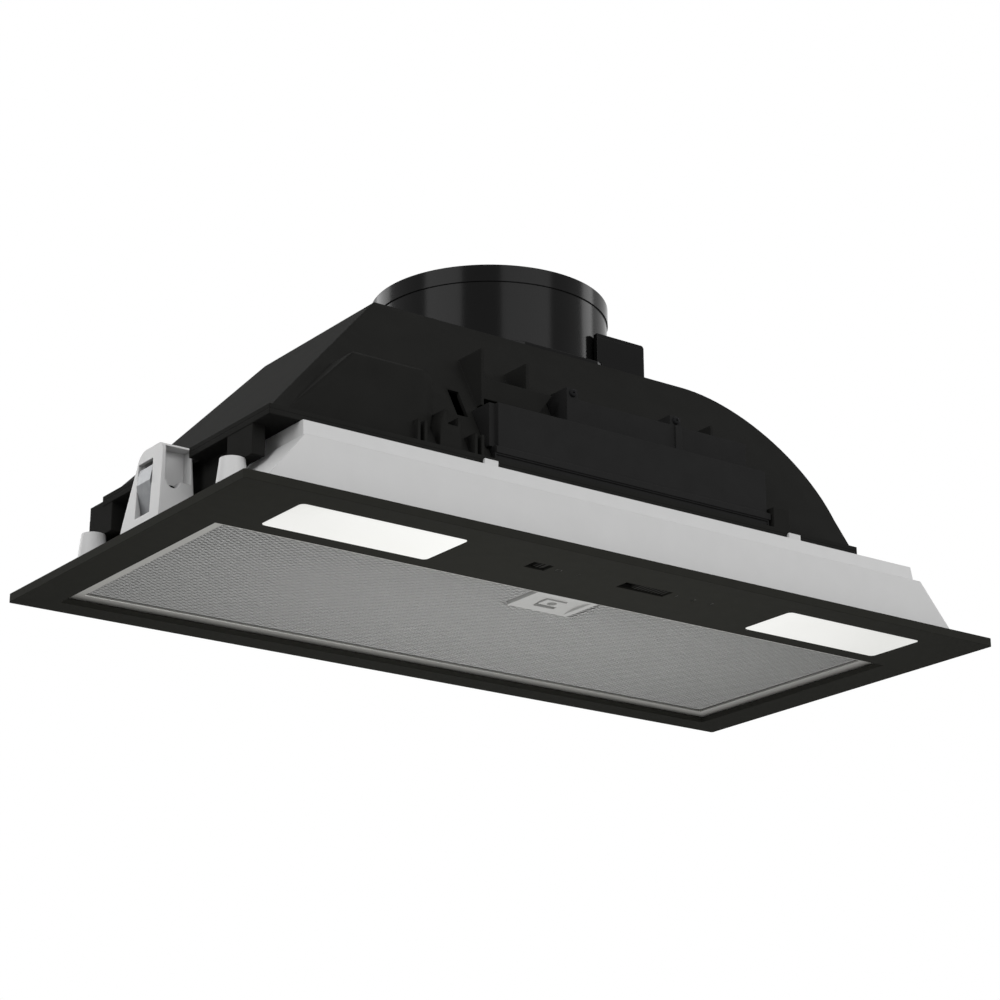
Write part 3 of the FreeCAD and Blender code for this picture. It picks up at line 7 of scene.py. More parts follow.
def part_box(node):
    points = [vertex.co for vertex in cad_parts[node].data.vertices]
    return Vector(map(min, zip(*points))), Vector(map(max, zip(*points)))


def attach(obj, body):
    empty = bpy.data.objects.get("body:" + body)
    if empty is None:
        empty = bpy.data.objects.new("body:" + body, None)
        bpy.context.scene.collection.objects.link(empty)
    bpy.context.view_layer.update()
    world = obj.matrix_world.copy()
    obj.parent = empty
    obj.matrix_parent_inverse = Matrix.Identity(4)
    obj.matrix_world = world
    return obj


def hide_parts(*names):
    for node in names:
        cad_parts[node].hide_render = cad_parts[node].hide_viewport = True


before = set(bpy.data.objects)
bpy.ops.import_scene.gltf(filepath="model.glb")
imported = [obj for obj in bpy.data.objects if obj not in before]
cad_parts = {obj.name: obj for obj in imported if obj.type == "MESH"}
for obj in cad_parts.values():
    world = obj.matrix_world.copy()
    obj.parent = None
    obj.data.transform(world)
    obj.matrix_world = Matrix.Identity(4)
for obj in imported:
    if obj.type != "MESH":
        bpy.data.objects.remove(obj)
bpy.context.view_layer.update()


# ---- Camera ----
# The hood is seen from below its front left corner. The lens and the place come from the plate's corners,
# the lamps and the round collar in the photograph.
camera_place = (-0.88195, -1.18758, -0.43641)
lens_mm = 94.51
heading_deg = -36.26
rise_deg = 19.17
roll_deg = -0.29
bpy.ops.object.camera_add(location=camera_place)
camera = bpy.context.object
camera.name = "camera"
camera.data.sensor_width = 36.0
camera.data.lens = lens_mm
camera.rotation_euler = (
    Matrix.Rotation(math.radians(heading_deg), 3, "Z")
    @ Matrix.Rotation(math.radians(90 + rise_deg), 3, "X")
    @ Matrix.Rotation(math.radians(roll_deg), 3, "Z")
).to_euler()
bpy.context.scene.camera = camera


# ---- Trim plate ----
# The visible frame round the filter: 1.5 mm sheet steel, its four sides folded up into a narrow hem, with
# a black satin powder coat. It hangs on eight welded studs with zinc-plated nuts.
def linear(code):
    """Linear colour of an sRGB hex value."""
    channels = [int(code[i:i + 2], 16) / 255 for i in (1, 3, 5)]
    return [c / 12.92 if c <= 0.04045 else ((c + 0.055) / 1.055) ** 2.4 for c in channels] + [1.0]


def add(material, kind, settings):
    """Adds one node. A socket among its settings is linked, and any other value is set."""
    tree = material.node_tree
    node = tree.nodes.new(kind)
    for name, value in settings.items():
        if not isinstance(name, int) and name not in node.inputs:
            setattr(node, name, value)
        elif isinstance(value, bpy.types.NodeSocket):
            tree.links.new(value, node.inputs[name])
        else:
            node.inputs[name].default_value = value
    return node


def new_finish(name, colour, roughness, metallic=0.0, shine=0.5):
    """A material with its shader set to one colour and gloss, and the object's own coordinates."""
    material = bpy.data.materials.new(name)
    material.use_nodes = True
    shader = material.node_tree.nodes["Principled BSDF"]
    shader.inputs["Base Color"].default_value = linear(colour)
    shader.inputs["Roughness"].default_value = roughness
    shader.inputs["Metallic"].default_value = metallic
    shader.inputs["Specular IOR Level"].default_value = shine
    place = add(material, "ShaderNodeTexCoord", {}).outputs["Object"]
    return material, shader, place


def mottle(material, shader, place, size_mm, dark, light):
    """Lets the colour drift between two shades over patches of about size_mm."""
    cloud = add(material, "ShaderNodeTexNoise", {"Vector": place, "Scale": 1000 / size_mm, "Detail": 3.0})
    blend = add(material, "ShaderNodeMix", {"data_type": "RGBA", "Factor": cloud.outputs["Fac"]})
    blend.inputs[6].default_value = linear(dark)
    blend.inputs[7].default_value = linear(light)
    material.node_tree.links.new(blend.outputs[2], shader.inputs["Base Color"])


def grain(material, shader, place, size_mm, depth_mm, edge_mm=0.0):
    """A fine cast or sprayed grain of that size and depth, and edges rounded by edge_mm."""
    speck = add(material, "ShaderNodeTexNoise", {"Vector": place, "Scale": 1000 / size_mm, "Detail": 2.0})
    bump = add(material, "ShaderNodeBump", {"Height": speck.outputs["Fac"], "Distance": depth_mm / 1000})
    if edge_mm:
        edge = add(material, "ShaderNodeBevel", {"samples": 6, "Radius": edge_mm / 1000})
        material.node_tree.links.new(edge.outputs["Normal"], bump.inputs["Normal"])
    material.node_tree.links.new(bump.outputs["Normal"], shader.inputs["Normal"])


def coat(material, *nodes):
    """Gives CAD nodes this material."""
    for node in nodes:
        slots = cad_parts[node].data.materials
        slots.clear()
        slots.append(material)


# polyester powder coat: a very fine orange peel that spreads the light, and no sparkle
powder_coat, shader, place = new_finish("black_powder_coat", "#292926", 0.68, shine=0.015)
mottle(powder_coat, shader, place, 9.0, "#272724", "#2B2B28")
grain(powder_coat, shader, place, 0.9, 0.02, 0.5)
coat(powder_coat, "trim_plate")

# zinc plating on turned and cold-formed steel: bluish grey, faintly cloudy
zinc, shader, place = new_finish("zinc_plated_steel", "#B4B6B9", 0.32, 1.0)
mottle(zinc, shader, place, 2.5, "#A9ABAE", "#BEC0C2")
grain(zinc, shader, place, 0.3, 0.004)
coat(zinc, "plate_studs", "plate_nuts")


# ---- Base frame ----
# The light grey carrier that the lamps, switches and filter sit in: one ABS injection moulding with
# drafted walls and a stepped crown. It is screwed down on the plate's studs.
grey_abs, shader, place = new_finish("grey_moulded_abs", "#C3C3C3", 0.5, shine=0.4)
mottle(grey_abs, shader, place, 14.0, "#C0C0C0", "#C6C6C6")
grain(grey_abs, shader, place, 0.7, 0.02, 0.9)
coat(grey_abs, "base_frame")


# ---- Lamps ----
# Two LED panels: an opal polycarbonate diffuser flush with the plate, a white cup behind it and a board
# with six diodes. The diffuser clips into its hole from above.

# opal polycarbonate, lit: it hides the diodes and glows evenly, a little weaker between them
glow_strength = 0.30
glow_patch_mm = 45.45
opal, shader, place = new_finish("opal_polycarbonate_lit", "#E0E0DD", 0.5, shine=0.2)
shader.inputs["Emission Strength"].default_value = glow_strength
glow = add(opal, "ShaderNodeTexNoise", {"Vector": place, "Scale": 1000 / glow_patch_mm, "Detail": 0.5})
shade = add(opal, "ShaderNodeMix", {"data_type": "RGBA", "Factor": glow.outputs["Fac"]})
shade.inputs[6].default_value = linear("#D8D8D4")
shade.inputs[7].default_value = linear("#FFFFFF")
opal.node_tree.links.new(shade.outputs[2], shader.inputs["Emission Color"])
grain(opal, shader, place, 1.2, 0.01, 0.4)
coat(opal, "lamp_lens_left", "lamp_lens_right")

# glass-filled polyester: chalk white and dull
white_pbt, shader, place = new_finish("white_pbt", "#DEDEDA", 0.55)
mottle(white_pbt, shader, place, 6.0, "#D9D9D5", "#E2E2DE")
grain(white_pbt, shader, place, 0.5, 0.015, 0.3)
coat(white_pbt, "lamp_cup_left", "lamp_cup_right", "terminal_block")

# glass-epoxy board under green solder resist: glossy, with the weave just showing
weave_mm = 0.714
solder_resist, shader, place = new_finish("green_solder_resist", "#1C5A36", 0.28)
weave = add(solder_resist, "ShaderNodeTexChecker", {"Vector": place, "Scale": 1000 / weave_mm})
weave.inputs["Color1"].default_value = linear("#1A5633")
weave.inputs["Color2"].default_value = linear("#205F3B")
solder_resist.node_tree.links.new(weave.outputs["Color"], shader.inputs["Base Color"])
coat(solder_resist, "lamp_board_left", "lamp_board_right", "control_board")


# ---- Slide switches ----
# A short one for the lamps and a long one for the fan's speeds: ribbed ABS knobs in two windows of the
# plate, over a closed switch case.

# textured ABS: black with a dull satin
satin_abs, shader, place = new_finish("black_satin_abs", "#282826", 0.6, shine=0.03)
mottle(satin_abs, shader, place, 5.0, "#262624", "#2A2A28")
grain(satin_abs, shader, place, 0.5, 0.008, 0.25)
coat(satin_abs, "lamp_knob", "speed_knob", "lamp_switch", "speed_switch")

# pad-printed marks: off and on beside the lamp knob, the speeds beside the fan knob
mark_height = 0.0055
ink_depth = 0.00003
knob_low, knob_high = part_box("lamp_knob")
marks_y = (knob_low[1] + knob_high[1]) / 2
off_mark_x = knob_high[0] + 0.00575
on_mark_x = off_mark_x + 0.0135
speed_mark_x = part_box("speed_knob")[1][0] + 0.00495
speed_mark_pitch = 0.0130
marking_ink, shader, place = new_finish("grey_pad_ink", "#3A3A38", 0.6)
grain(marking_ink, shader, place, 0.4, 0.01)
marks = []
for sign, x in (("O", off_mark_x), ("I", on_mark_x), ("1", speed_mark_x),
                ("2", speed_mark_x + speed_mark_pitch), ("3", speed_mark_x + 2 * speed_mark_pitch)):
    bpy.ops.object.text_add(location=(x, marks_y, 0.0), rotation=(math.pi, 0, 0))
    mark = bpy.context.object
    mark.data.body = sign
    mark.data.size = mark_height
    mark.data.align_x = "CENTER"
    mark.data.align_y = "CENTER"
    mark.data.extrude = ink_depth
    bpy.ops.object.convert(target="MESH")
    bpy.ops.object.transform_apply(location=True, rotation=True, scale=True)
    marks.append(mark)
bpy.ops.object.select_all(action="DESELECT")
for mark in marks:
    mark.select_set(True)
bpy.context.view_layer.objects.active = marks[0]
bpy.ops.object.join()
marks = bpy.context.object
marks.name = "printed_marks"
marks.data.materials.clear()
marks.data.materials.append(marking_ink)
bpy.ops.object.mode_set(mode="EDIT")
bpy.ops.mesh.select_all(action="SELECT")
bpy.ops.transform.translate(value=(0, 0, ink_depth))
bpy.ops.object.mode_set(mode="OBJECT")
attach(marks, "casing")


# ---- Grease filter ----
# A cassette of several layers of expanded aluminium in a rolled aluminium channel. It hangs on two pins at
# the rear and a latch at the front.
mesh_low, mesh_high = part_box("filter_mesh_lower")
upper_mesh_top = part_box("filter_mesh_upper")[1][2]
latch_low, latch_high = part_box("latch_case")
mesh_length = mesh_high[0] - mesh_low[0]
mesh_depth = mesh_high[1] - mesh_low[1]
mesh_y = (mesh_low[1] + mesh_high[1]) / 2

# rolled aluminium strip: drawn lines along the strip, dulled by lacquer
line_length_mm = 25.0
line_pitch_mm = 1.111
line_depth = 0.00001
fold_radius = 0.0006
channel, shader, place = new_finish("rolled_aluminium", "#D2D1CD", 0.42, 1.0)
along = add(channel, "ShaderNodeMapping", {
    "Vector": place, "Scale": (1000 / line_length_mm, 1000 / line_pitch_mm, 1000 / line_pitch_mm)})
lines = add(channel, "ShaderNodeTexNoise", {"Vector": along.outputs["Vector"], "Scale": 1.0, "Detail": 3.0})
bump = add(channel, "ShaderNodeBump", {"Height": lines.outputs["Fac"], "Distance": line_depth})
edge = add(channel, "ShaderNodeBevel", {"samples": 6, "Radius": fold_radius})
channel.node_tree.links.new(edge.outputs["Normal"], bump.inputs["Normal"])
channel.node_tree.links.new(bump.outputs["Normal"], shader.inputs["Normal"])
coat(channel, "filter_rim")

# expanded aluminium: strands at many small angles that spread the light, with the next layer's diamonds
# just showing, here 5 mm by 2.6 mm
diamond_length_mm = 5.0
diamond_width_mm = 2.632
diamond_relief = 0.0002
expanded, shader, place = new_finish("expanded_aluminium", "#B2B2B1", 0.6, 0.8)
turned = add(expanded, "ShaderNodeMapping", {
    "Vector": place, "Scale": (1000 / diamond_length_mm, 1000 / diamond_width_mm, 1.0)})
turned.inputs["Rotation"].default_value = (0, 0, math.radians(45))
cells = add(expanded, "ShaderNodeTexVoronoi", {"Vector": turned.outputs["Vector"], "Scale": 1.0})
cells.feature = "DISTANCE_TO_EDGE"
bump = add(expanded, "ShaderNodeBump", {"Height": cells.outputs["Distance"], "Distance": diamond_relief})
expanded.node_tree.links.new(bump.outputs["Normal"], shader.inputs["Normal"])
coat(expanded, "filter_mesh_lower", "filter_mesh_upper", "filter_core")

# outer layers: a lattice of 6 mm by 3.4 mm diamonds, each strand twisted up and down a little
lattice_margin = 0.00915
stand_off = 0.00035
strand = 0.0008
twist = 0.0001
latch_gap_side = 0.0008
latch_gap_rear = 0.0010
across = 76
deep = 45
for name, height, crest in (
        ("filter_lattice_lower", mesh_low[2] - stand_off, -twist),
        ("filter_lattice_upper", upper_mesh_top + stand_off, twist)):
    bpy.ops.object.select_all(action="DESELECT")
    bpy.ops.mesh.primitive_grid_add(x_subdivisions=across, y_subdivisions=deep, size=1.0,
                                    location=(0, 0, 0))
    lattice = bpy.context.object
    lattice.name = name
    bpy.ops.object.mode_set(mode="EDIT")
    bpy.ops.transform.resize(
        value=(mesh_length - 2 * lattice_margin, mesh_depth - 2 * lattice_margin, 1.0),
        center_override=(0, 0, 0))
    bpy.ops.transform.translate(value=(0, mesh_y, height))
    bpy.ops.mesh.poke()
    bpy.ops.mesh.select_all(action="DESELECT")
    bpy.ops.object.mode_set(mode="OBJECT")
    corners = (across + 1) * (deep + 1)
    for side in lattice.data.edges:
        side.select = all(v < corners for v in side.vertices)
    bpy.ops.object.mode_set(mode="EDIT")
    bpy.ops.mesh.select_mode(type="EDGE")
    bpy.ops.mesh.dissolve_edges(use_verts=False)
    bpy.ops.mesh.select_mode(type="VERT")
    bpy.ops.mesh.select_all(action="DESELECT")
    bpy.ops.object.mode_set(mode="OBJECT")
    for point in lattice.data.vertices:
        point.select = point.index >= corners
    bpy.ops.object.mode_set(mode="EDIT")
    bpy.ops.transform.translate(value=(0, 0, crest))
    bpy.ops.mesh.select_all(action="DESELECT")
    bpy.ops.object.mode_set(mode="OBJECT")
    # the latch's corner of the cassette has no mesh
    for point in lattice.data.vertices:
        beside = abs(point.co.x) < latch_high[0] + latch_gap_side
        point.select = beside and point.co.y < latch_high[1] + latch_gap_rear
    bpy.ops.object.mode_set(mode="EDIT")
    bpy.ops.mesh.delete(type="VERT")
    bpy.ops.object.mode_set(mode="OBJECT")
    strands = lattice.modifiers.new("strands", "WIREFRAME")
    strands.thickness = strand
    strands.use_even_offset = False
    bpy.ops.object.modifier_apply(modifier="strands")
    lattice.data.materials.append(expanded)
    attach(lattice, "filter")

# painted shade: a thin black strip along the mesh's edge, inside the channel's lip, standing for the shadow
# in the gap between the mesh and the lip
shade_strip_margin = 0.00805
shade_strip_width = 0.0011
shade_strip_height = 0.0006
shade_strip_gap = 0.00005
latch_clear = 0.0002
# near-black colour of the painted shadow strip, with a faint random mottle
shade_strip_black, shader, place = new_finish("painted_shade_black", "#2A2A29", 0.7, shine=0.1)
mottle(shade_strip_black, shader, place, 2.0, "#262625", "#2E2E2D")
grain(shade_strip_black, shader, place, 0.4, 0.01)
bpy.ops.object.select_all(action="DESELECT")
bpy.ops.mesh.primitive_plane_add(size=1.0, location=(0, mesh_y, mesh_low[2] - shade_strip_gap))
shade_strip = bpy.context.object
shade_strip.name = "filter_edge_painted_shade_strip"
shade_strip.scale = (mesh_length - 2 * shade_strip_margin, mesh_depth - 2 * shade_strip_margin, 1.0)
bpy.ops.object.transform_apply(location=True, rotation=True, scale=True)
bpy.ops.object.mode_set(mode="EDIT")
bpy.ops.mesh.select_mode(type="FACE")
bpy.ops.mesh.select_all(action="SELECT")
bpy.ops.mesh.inset(thickness=shade_strip_width)
bpy.ops.mesh.delete(type="FACE")
bpy.ops.mesh.select_all(action="SELECT")
bpy.ops.mesh.extrude_region_move(TRANSFORM_OT_translate={"value": (0, 0, -shade_strip_height)})
bpy.ops.mesh.select_all(action="SELECT")
bpy.ops.mesh.normals_make_consistent(inside=False)
# nothing across the latch
shade_strip_end = latch_high[0] + latch_clear
bpy.ops.mesh.bisect(plane_co=(-shade_strip_end, 0, 0), plane_no=(1, 0, 0))
bpy.ops.mesh.select_all(action="SELECT")
bpy.ops.mesh.bisect(plane_co=(shade_strip_end, 0, 0), plane_no=(1, 0, 0))
bpy.ops.mesh.select_all(action="DESELECT")
bpy.ops.object.mode_set(mode="OBJECT")
for face in shade_strip.data.polygons:
    face.select = abs(face.center.x) < latch_high[0] and face.center.y < 0
bpy.ops.object.mode_set(mode="EDIT")
bpy.ops.mesh.delete(type="FACE")
bpy.ops.mesh.select_mode(type="EDGE")
bpy.ops.mesh.select_non_manifold()
bpy.ops.mesh.fill()
bpy.ops.mesh.select_all(action="DESELECT")
bpy.ops.object.mode_set(mode="OBJECT")
shade_strip.data.materials.append(shade_strip_black)
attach(shade_strip, "filter")

# turned steel for pins, shafts and springs: brighter than zinc, with fine turning marks
bright_steel, shader, place = new_finish("turned_steel", "#B9B9B8", 0.28, 1.0)
grain(bright_steel, shader, place, 0.25, 0.004)
coat(bright_steel, "filter_pins", "latch_spring", "motor_shaft", "damper_pin")


# ---- Filter latch ----
# A sliding bolt with a finger pull in a dished case, moulded in grey acetal and pressed into the filter's
# front edge.

# acetal: smooth and slightly waxy, brighter at its edges
acetal, shader, place = new_finish("grey_acetal", "#B3B3B1", 0.38)
mottle(acetal, shader, place, 7.0, "#AFAFAD", "#B7B7B5")
grain(acetal, shader, place, 0.6, 0.012, 0.5)
coat(acetal, "latch_case", "latch_bolt")


# ---- Blower housing ----
# Upper and lower halves of the air box: black polypropylene with drafted walls, ribs and snap features
# from the mould, joined by screws through small lugs.

# polypropylene from a spark-eroded mould: dull, with hardly any highlight
black_pp, shader, place = new_finish("black_moulded_polypropylene", "#212120", 0.6, shine=0.004)
mottle(black_pp, shader, place, 18.0, "#1F1F1E", "#242423")
grain(black_pp, shader, place, 0.8, 0.025, 1.0)
coat(black_pp, "lower_housing", "scroll_plate_front", "scroll_plate_rear",
     "inlet_ring_front", "inlet_ring_rear", "control_case", "control_lid")

# the same plastic on the upper half, whose edges are rounded by 1 mm, and by 6 mm on the bulge at its left
# end, which starts 98 mm left of the middle and 58 mm up
bulge_right, bulge_left = -0.098, -0.106
bulge_foot, bulge_top = 0.058, 0.066
crisp_edge, soft_edge = 0.001, 0.006
soft_edged_pp = black_pp.copy()
soft_edged_pp.name = "black_polypropylene_soft_bulge"
place = soft_edged_pp.node_tree.nodes["Texture Coordinate"].outputs["Object"]
spot = add(soft_edged_pp, "ShaderNodeSeparateXYZ", {"Vector": place})
left = add(soft_edged_pp, "ShaderNodeMapRange", {
    "Value": spot.outputs["X"], "From Min": bulge_right, "From Max": bulge_left})
high = add(soft_edged_pp, "ShaderNodeMapRange", {
    "Value": spot.outputs["Z"], "From Min": bulge_foot, "From Max": bulge_top})
both = add(soft_edged_pp, "ShaderNodeMath", {
    "operation": "MULTIPLY", 0: left.outputs["Result"], 1: high.outputs["Result"]})
rounding = add(soft_edged_pp, "ShaderNodeMapRange", {
    "Value": both.outputs[0], "To Min": crisp_edge, "To Max": soft_edge})
edge = soft_edged_pp.node_tree.nodes["Bevel"]
edge.samples = 12
soft_edged_pp.node_tree.links.new(rounding.outputs["Result"], edge.inputs["Radius"])
coat(soft_edged_pp, "upper_housing")

# corner baffle: a thin shelf in the lower half's deck that closes the rear intake window where it runs past
# the upper half
baffle_length = 0.0450
baffle_depth = 0.0190
baffle_thickness = 0.0012
baffle_below_deck_top = 0.0016
baffle_rim = 0.0015
baffle_sink = 0.0004
baffle_from_right = 0.0295
baffle_from_rear = 0.0185
upper_right, upper_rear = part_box("upper_housing")[1][:2]
deck_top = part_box("lower_housing")[1][2]
bpy.ops.object.select_all(action="DESELECT")
bpy.ops.mesh.primitive_plane_add(size=1.0, location=(
    upper_right - baffle_from_right, upper_rear - baffle_from_rear, deck_top - baffle_below_deck_top))
baffle = bpy.context.object
baffle.name = "intake_corner_baffle"
baffle.scale = (baffle_length, baffle_depth, 1.0)
bpy.ops.object.transform_apply(location=True, rotation=True, scale=True)
bpy.ops.object.mode_set(mode="EDIT")
bpy.ops.mesh.select_all(action="SELECT")
bpy.ops.mesh.extrude_region_move(TRANSFORM_OT_translate={"value": (0, 0, baffle_thickness)})
bpy.ops.mesh.inset(thickness=baffle_rim)
bpy.ops.transform.translate(value=(0, 0, -baffle_sink))
bpy.ops.mesh.select_all(action="SELECT")
bpy.ops.mesh.normals_make_consistent(inside=False)
bpy.ops.mesh.select_all(action="DESELECT")
bpy.ops.object.mode_set(mode="OBJECT")
baffle.data.materials.append(black_pp)
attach(baffle, "casing")


# ---- Fan and motor ----
# A double-inlet wheel with forward-curved blades, moulded in black polyamide, on the shaft of a capacitor
# motor that a steel clamp ring holds on rubber grommets. The outlet's flaps are of the same plastic.

# polyamide: black, between satin and gloss
black_pa, shader, place = new_finish("black_polyamide", "#161616", 0.45, shine=0.15)
mottle(black_pa, shader, place, 10.0, "#141414", "#191919")
grain(black_pa, shader, place, 0.5, 0.015, 0.3)
coat(black_pa, "impeller", "damper_flap_left", "damper_flap_right")

# stove enamel on the motor's die-cast shell: dark grey with a slight orange peel
motor_enamel, shader, place = new_finish("dark_stove_enamel", "#4A4B4D", 0.35)
mottle(motor_enamel, shader, place, 8.0, "#464749", "#4E4F51")
grain(motor_enamel, shader, place, 1.4, 0.03, 0.5)
coat(motor_enamel, "motor")
coat(zinc, "motor_bracket", "bracket_screws")

# nitrile rubber: nearly black, dull, faintly dusty
rubber, shader, place = new_finish("nitrile_rubber", "#1B1B1B", 0.8)
mottle(rubber, shader, place, 3.0, "#181818", "#222221")
grain(rubber, shader, place, 0.4, 0.02)
coat(rubber, "motor_grommets")

# drawn aluminium, the can of the motor's capacitor: bright, with faint drawing marks
capacitor_can, shader, place = new_finish("drawn_aluminium", "#B5B5B4", 0.3, 1.0)
grain(capacitor_can, shader, place, 0.4, 0.006)
coat(capacitor_can, "capacitor")


# ---- Outlet collar ----
# The 150 mm duct spigot, screwed on the roof, and the mains junction box beside it, both moulded in black
# polypropylene.

# polypropylene from a polished mould: deep black, with sharp bands of light down the round wall
collar_pp, shader, place = new_finish("black_polished_polypropylene", "#0D0D0D", 0.16, shine=0.08)
mottle(collar_pp, shader, place, 16.0, "#0C0C0C", "#0F0F0F")
grain(collar_pp, shader, place, 1.2, 0.01, 0.5)
coat(collar_pp, "outlet_collar", "junction_box", "junction_lid")


# ---- Electronics covers ----
# Two covers on the leaning front wall: a large one over the control board, which clips on, and one above
# it over the mains supply, held by two screws.

# ABS from a grained mould: matt, slightly lighter than the housing
cover_abs, shader, place = new_finish("black_matt_abs", "#242424", 0.55, shine=0.01)
mottle(cover_abs, shader, place, 12.0, "#222222", "#272727")
grain(cover_abs, shader, place, 0.6, 0.02, 0.7)
coat(cover_abs, "control_cover", "supply_cover")

# ledge under the large cover, moulded with a shallow groove between two fine ribs
ledge_side = 0.0044
ledge_rib = 0.0009
ledge_groove = 0.0007
ledge_setback = 0.0005
ledge_gap = 0.0001
ledge_end = 0.00125
cover_low, cover_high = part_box("control_cover")
bpy.ops.object.select_all(action="DESELECT")
bpy.ops.mesh.primitive_cube_add(size=1.0, location=(
    (cover_low[0] + cover_high[0]) / 2,
    cover_low[1] + ledge_setback + ledge_side / 2,
    cover_low[2] - ledge_gap - ledge_side / 2))
ledge = bpy.context.object
ledge.name = "cover_ledge"
ledge.scale = (cover_high[0] - cover_low[0] - 2 * ledge_end, ledge_side, ledge_side)
bpy.ops.object.transform_apply(location=True, rotation=True, scale=True)
bpy.ops.object.mode_set(mode="EDIT")
bpy.ops.mesh.select_mode(type="FACE")
bpy.ops.mesh.select_all(action="DESELECT")
bpy.ops.object.mode_set(mode="OBJECT")
for face in ledge.data.polygons:
    face.select = face.normal.y < -0.9
bpy.ops.object.mode_set(mode="EDIT")
bpy.ops.mesh.inset(thickness=ledge_rib)
bpy.ops.mesh.extrude_region_move(TRANSFORM_OT_translate={"value": (0, ledge_groove, 0)})
bpy.ops.mesh.select_all(action="DESELECT")
bpy.ops.object.mode_set(mode="OBJECT")
ledge.data.materials.append(cover_abs)
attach(ledge, "casing")


# ---- Side brackets ----
# Hollow towers at both ends that carry the steel spring clips: the clips push out through a window and
# grip the cabinet's cut-out.
coat(grey_abs, "side_bracket_left", "side_bracket_right")

# spring steel, hardened and phosphated: mid grey, cloudy, with a soft metal sheen
spring_steel, shader, place = new_finish("phosphated_spring_steel", "#6F7072", 0.4, 1.0)
mottle(spring_steel, shader, place, 3.0, "#66676A", "#787A7B")
grain(spring_steel, shader, place, 0.3, 0.006)
coat(spring_steel, "spring_clip_left", "spring_clip_right")


# ---- Screws ----
# Pan-head screws with a cross recess. One of each size is formed here, and a copy stands at each place that
# the frame gives. They hold the housings, the base frame, the side brackets, the collar and a cover.

# steel with black oxide: nearly black, with a dull glint
black_oxide, shader, place = new_finish("black_oxide_steel", "#1A1A1B", 0.65, shine=0.04)
mottle(black_oxide, shader, place, 2.0, "#171718", "#1E1E1F")
grain(black_oxide, shader, place, 0.3, 0.005)


def pan_head_screw(name, head_radius, head_height, shank_radius, shank_length):
    """A screw standing on its head's underside at the origin, its shank down."""
    dome = head_height * 0.6
    wing_size = (head_radius * 1.1, head_radius * 0.26, head_height * 1.1)
    wing_taper = 0.55
    bpy.ops.object.select_all(action="DESELECT")
    bpy.ops.mesh.primitive_cylinder_add(vertices=32, radius=head_radius, depth=head_height,
                                        location=(0, 0, head_height / 2))
    screw = bpy.context.object
    screw.name = name
    bpy.ops.object.transform_apply(location=True, rotation=True, scale=True)
    # domed head
    bpy.ops.object.mode_set(mode="EDIT")
    bpy.ops.mesh.select_mode(type="EDGE")
    bpy.ops.mesh.select_all(action="DESELECT")
    bpy.ops.object.mode_set(mode="OBJECT")
    for ring in screw.data.edges:
        ring.select = all(screw.data.vertices[v].co.z > head_height * 0.9 for v in ring.vertices)
    bpy.ops.object.mode_set(mode="EDIT")
    bpy.ops.mesh.bevel(offset=dome, segments=4, profile=0.5)
    # shank, drawn down out of the head's underside
    bpy.ops.mesh.select_mode(type="FACE")
    bpy.ops.mesh.select_all(action="DESELECT")
    bpy.ops.object.mode_set(mode="OBJECT")
    for face in screw.data.polygons:
        face.select = face.normal.z < -0.9
    bpy.ops.object.mode_set(mode="EDIT")
    bpy.ops.mesh.inset(thickness=head_radius - shank_radius)
    bpy.ops.mesh.extrude_region_move(TRANSFORM_OT_translate={"value": (0, 0, -shank_length)})
    bpy.ops.mesh.select_all(action="DESELECT")
    bpy.ops.object.mode_set(mode="OBJECT")
    # cross recess: two tapered wings cut into the head
    cutters = []
    for turn in (0, 90):
        bpy.ops.mesh.primitive_cube_add(size=1.0, location=(0, 0, head_height))
        wing = bpy.context.object
        wing.scale = wing_size
        wing.rotation_euler = (0, 0, math.radians(turn))
        bpy.ops.object.transform_apply(location=True, rotation=True, scale=True)
        for point in wing.data.vertices:
            if point.co.z < head_height:
                point.co.x *= wing_taper
                point.co.y *= wing_taper
        cutters.append(wing)
    for wing in cutters:
        recess = screw.modifiers.new("recess", "BOOLEAN")
        recess.object = wing
        recess.solver = "EXACT"
        bpy.context.view_layer.objects.active = screw
        bpy.ops.object.modifier_apply(modifier="recess")
        bpy.data.objects.remove(wing)
    screw.data.materials.append(black_oxide)
    return screw


def screws_at(name, pattern, places, tilt=0.0):
    """One piece of copies of a screw, in place of the CAD node of that name. tilt turns them about X."""
    copies = []
    for spot in places:
        copy = pattern.copy()
        copy.data = pattern.data.copy()
        bpy.context.scene.collection.objects.link(copy)
        copy.matrix_world = Matrix.Translation(spot) @ Matrix.Rotation(math.radians(tilt), 4, "X")
        copies.append(copy)
    bpy.ops.object.select_all(action="DESELECT")
    for copy in copies:
        copy.select_set(True)
    bpy.context.view_layer.objects.active = copies[0]
    bpy.ops.object.transform_apply(location=True, rotation=True, scale=True)
    bpy.ops.object.join()
    group = bpy.context.object
    group.name = name + "_pan_head"
    bpy.ops.object.shade_smooth_by_angle(angle=math.radians(35))
    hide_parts(name)
    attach(group, "casing")


def upright_screws(node, head_radius, head_height):
    """Left, right, front and rear centre lines of a node's upright screws, and the height of their seats."""
    low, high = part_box(node)
    left, right = low[0] + head_radius, high[0] - head_radius
    front, rear = low[1] + head_radius, high[1] - head_radius
    return left, right, front, rear, high[2] - head_height


# thread-forming screws 3 mm across, through the housings' lugs, the base frame and the side brackets
head_radius = 0.0029
head_height = 0.0020
shank_radius = 0.0015
second_rear_lug_x = 0.070
left, right, front, rear, seat = upright_screws("housing_screws", head_radius, head_height)
screw = pan_head_screw("housing_screw", head_radius, head_height, shank_radius, shank_length=0.0175)
screws_at("housing_screws", screw, [
    (right, front, seat), (left, rear, seat), (second_rear_lug_x, rear, seat)])
bpy.data.objects.remove(screw)

left, right, front, rear, seat = upright_screws("frame_screws", head_radius, head_height)
screw = pan_head_screw("frame_screw", head_radius, head_height, shank_radius, shank_length=0.0060)
screws_at("frame_screws", screw, [(x, y, seat) for x in (left, right) for y in (front, rear)])
bpy.data.objects.remove(screw)

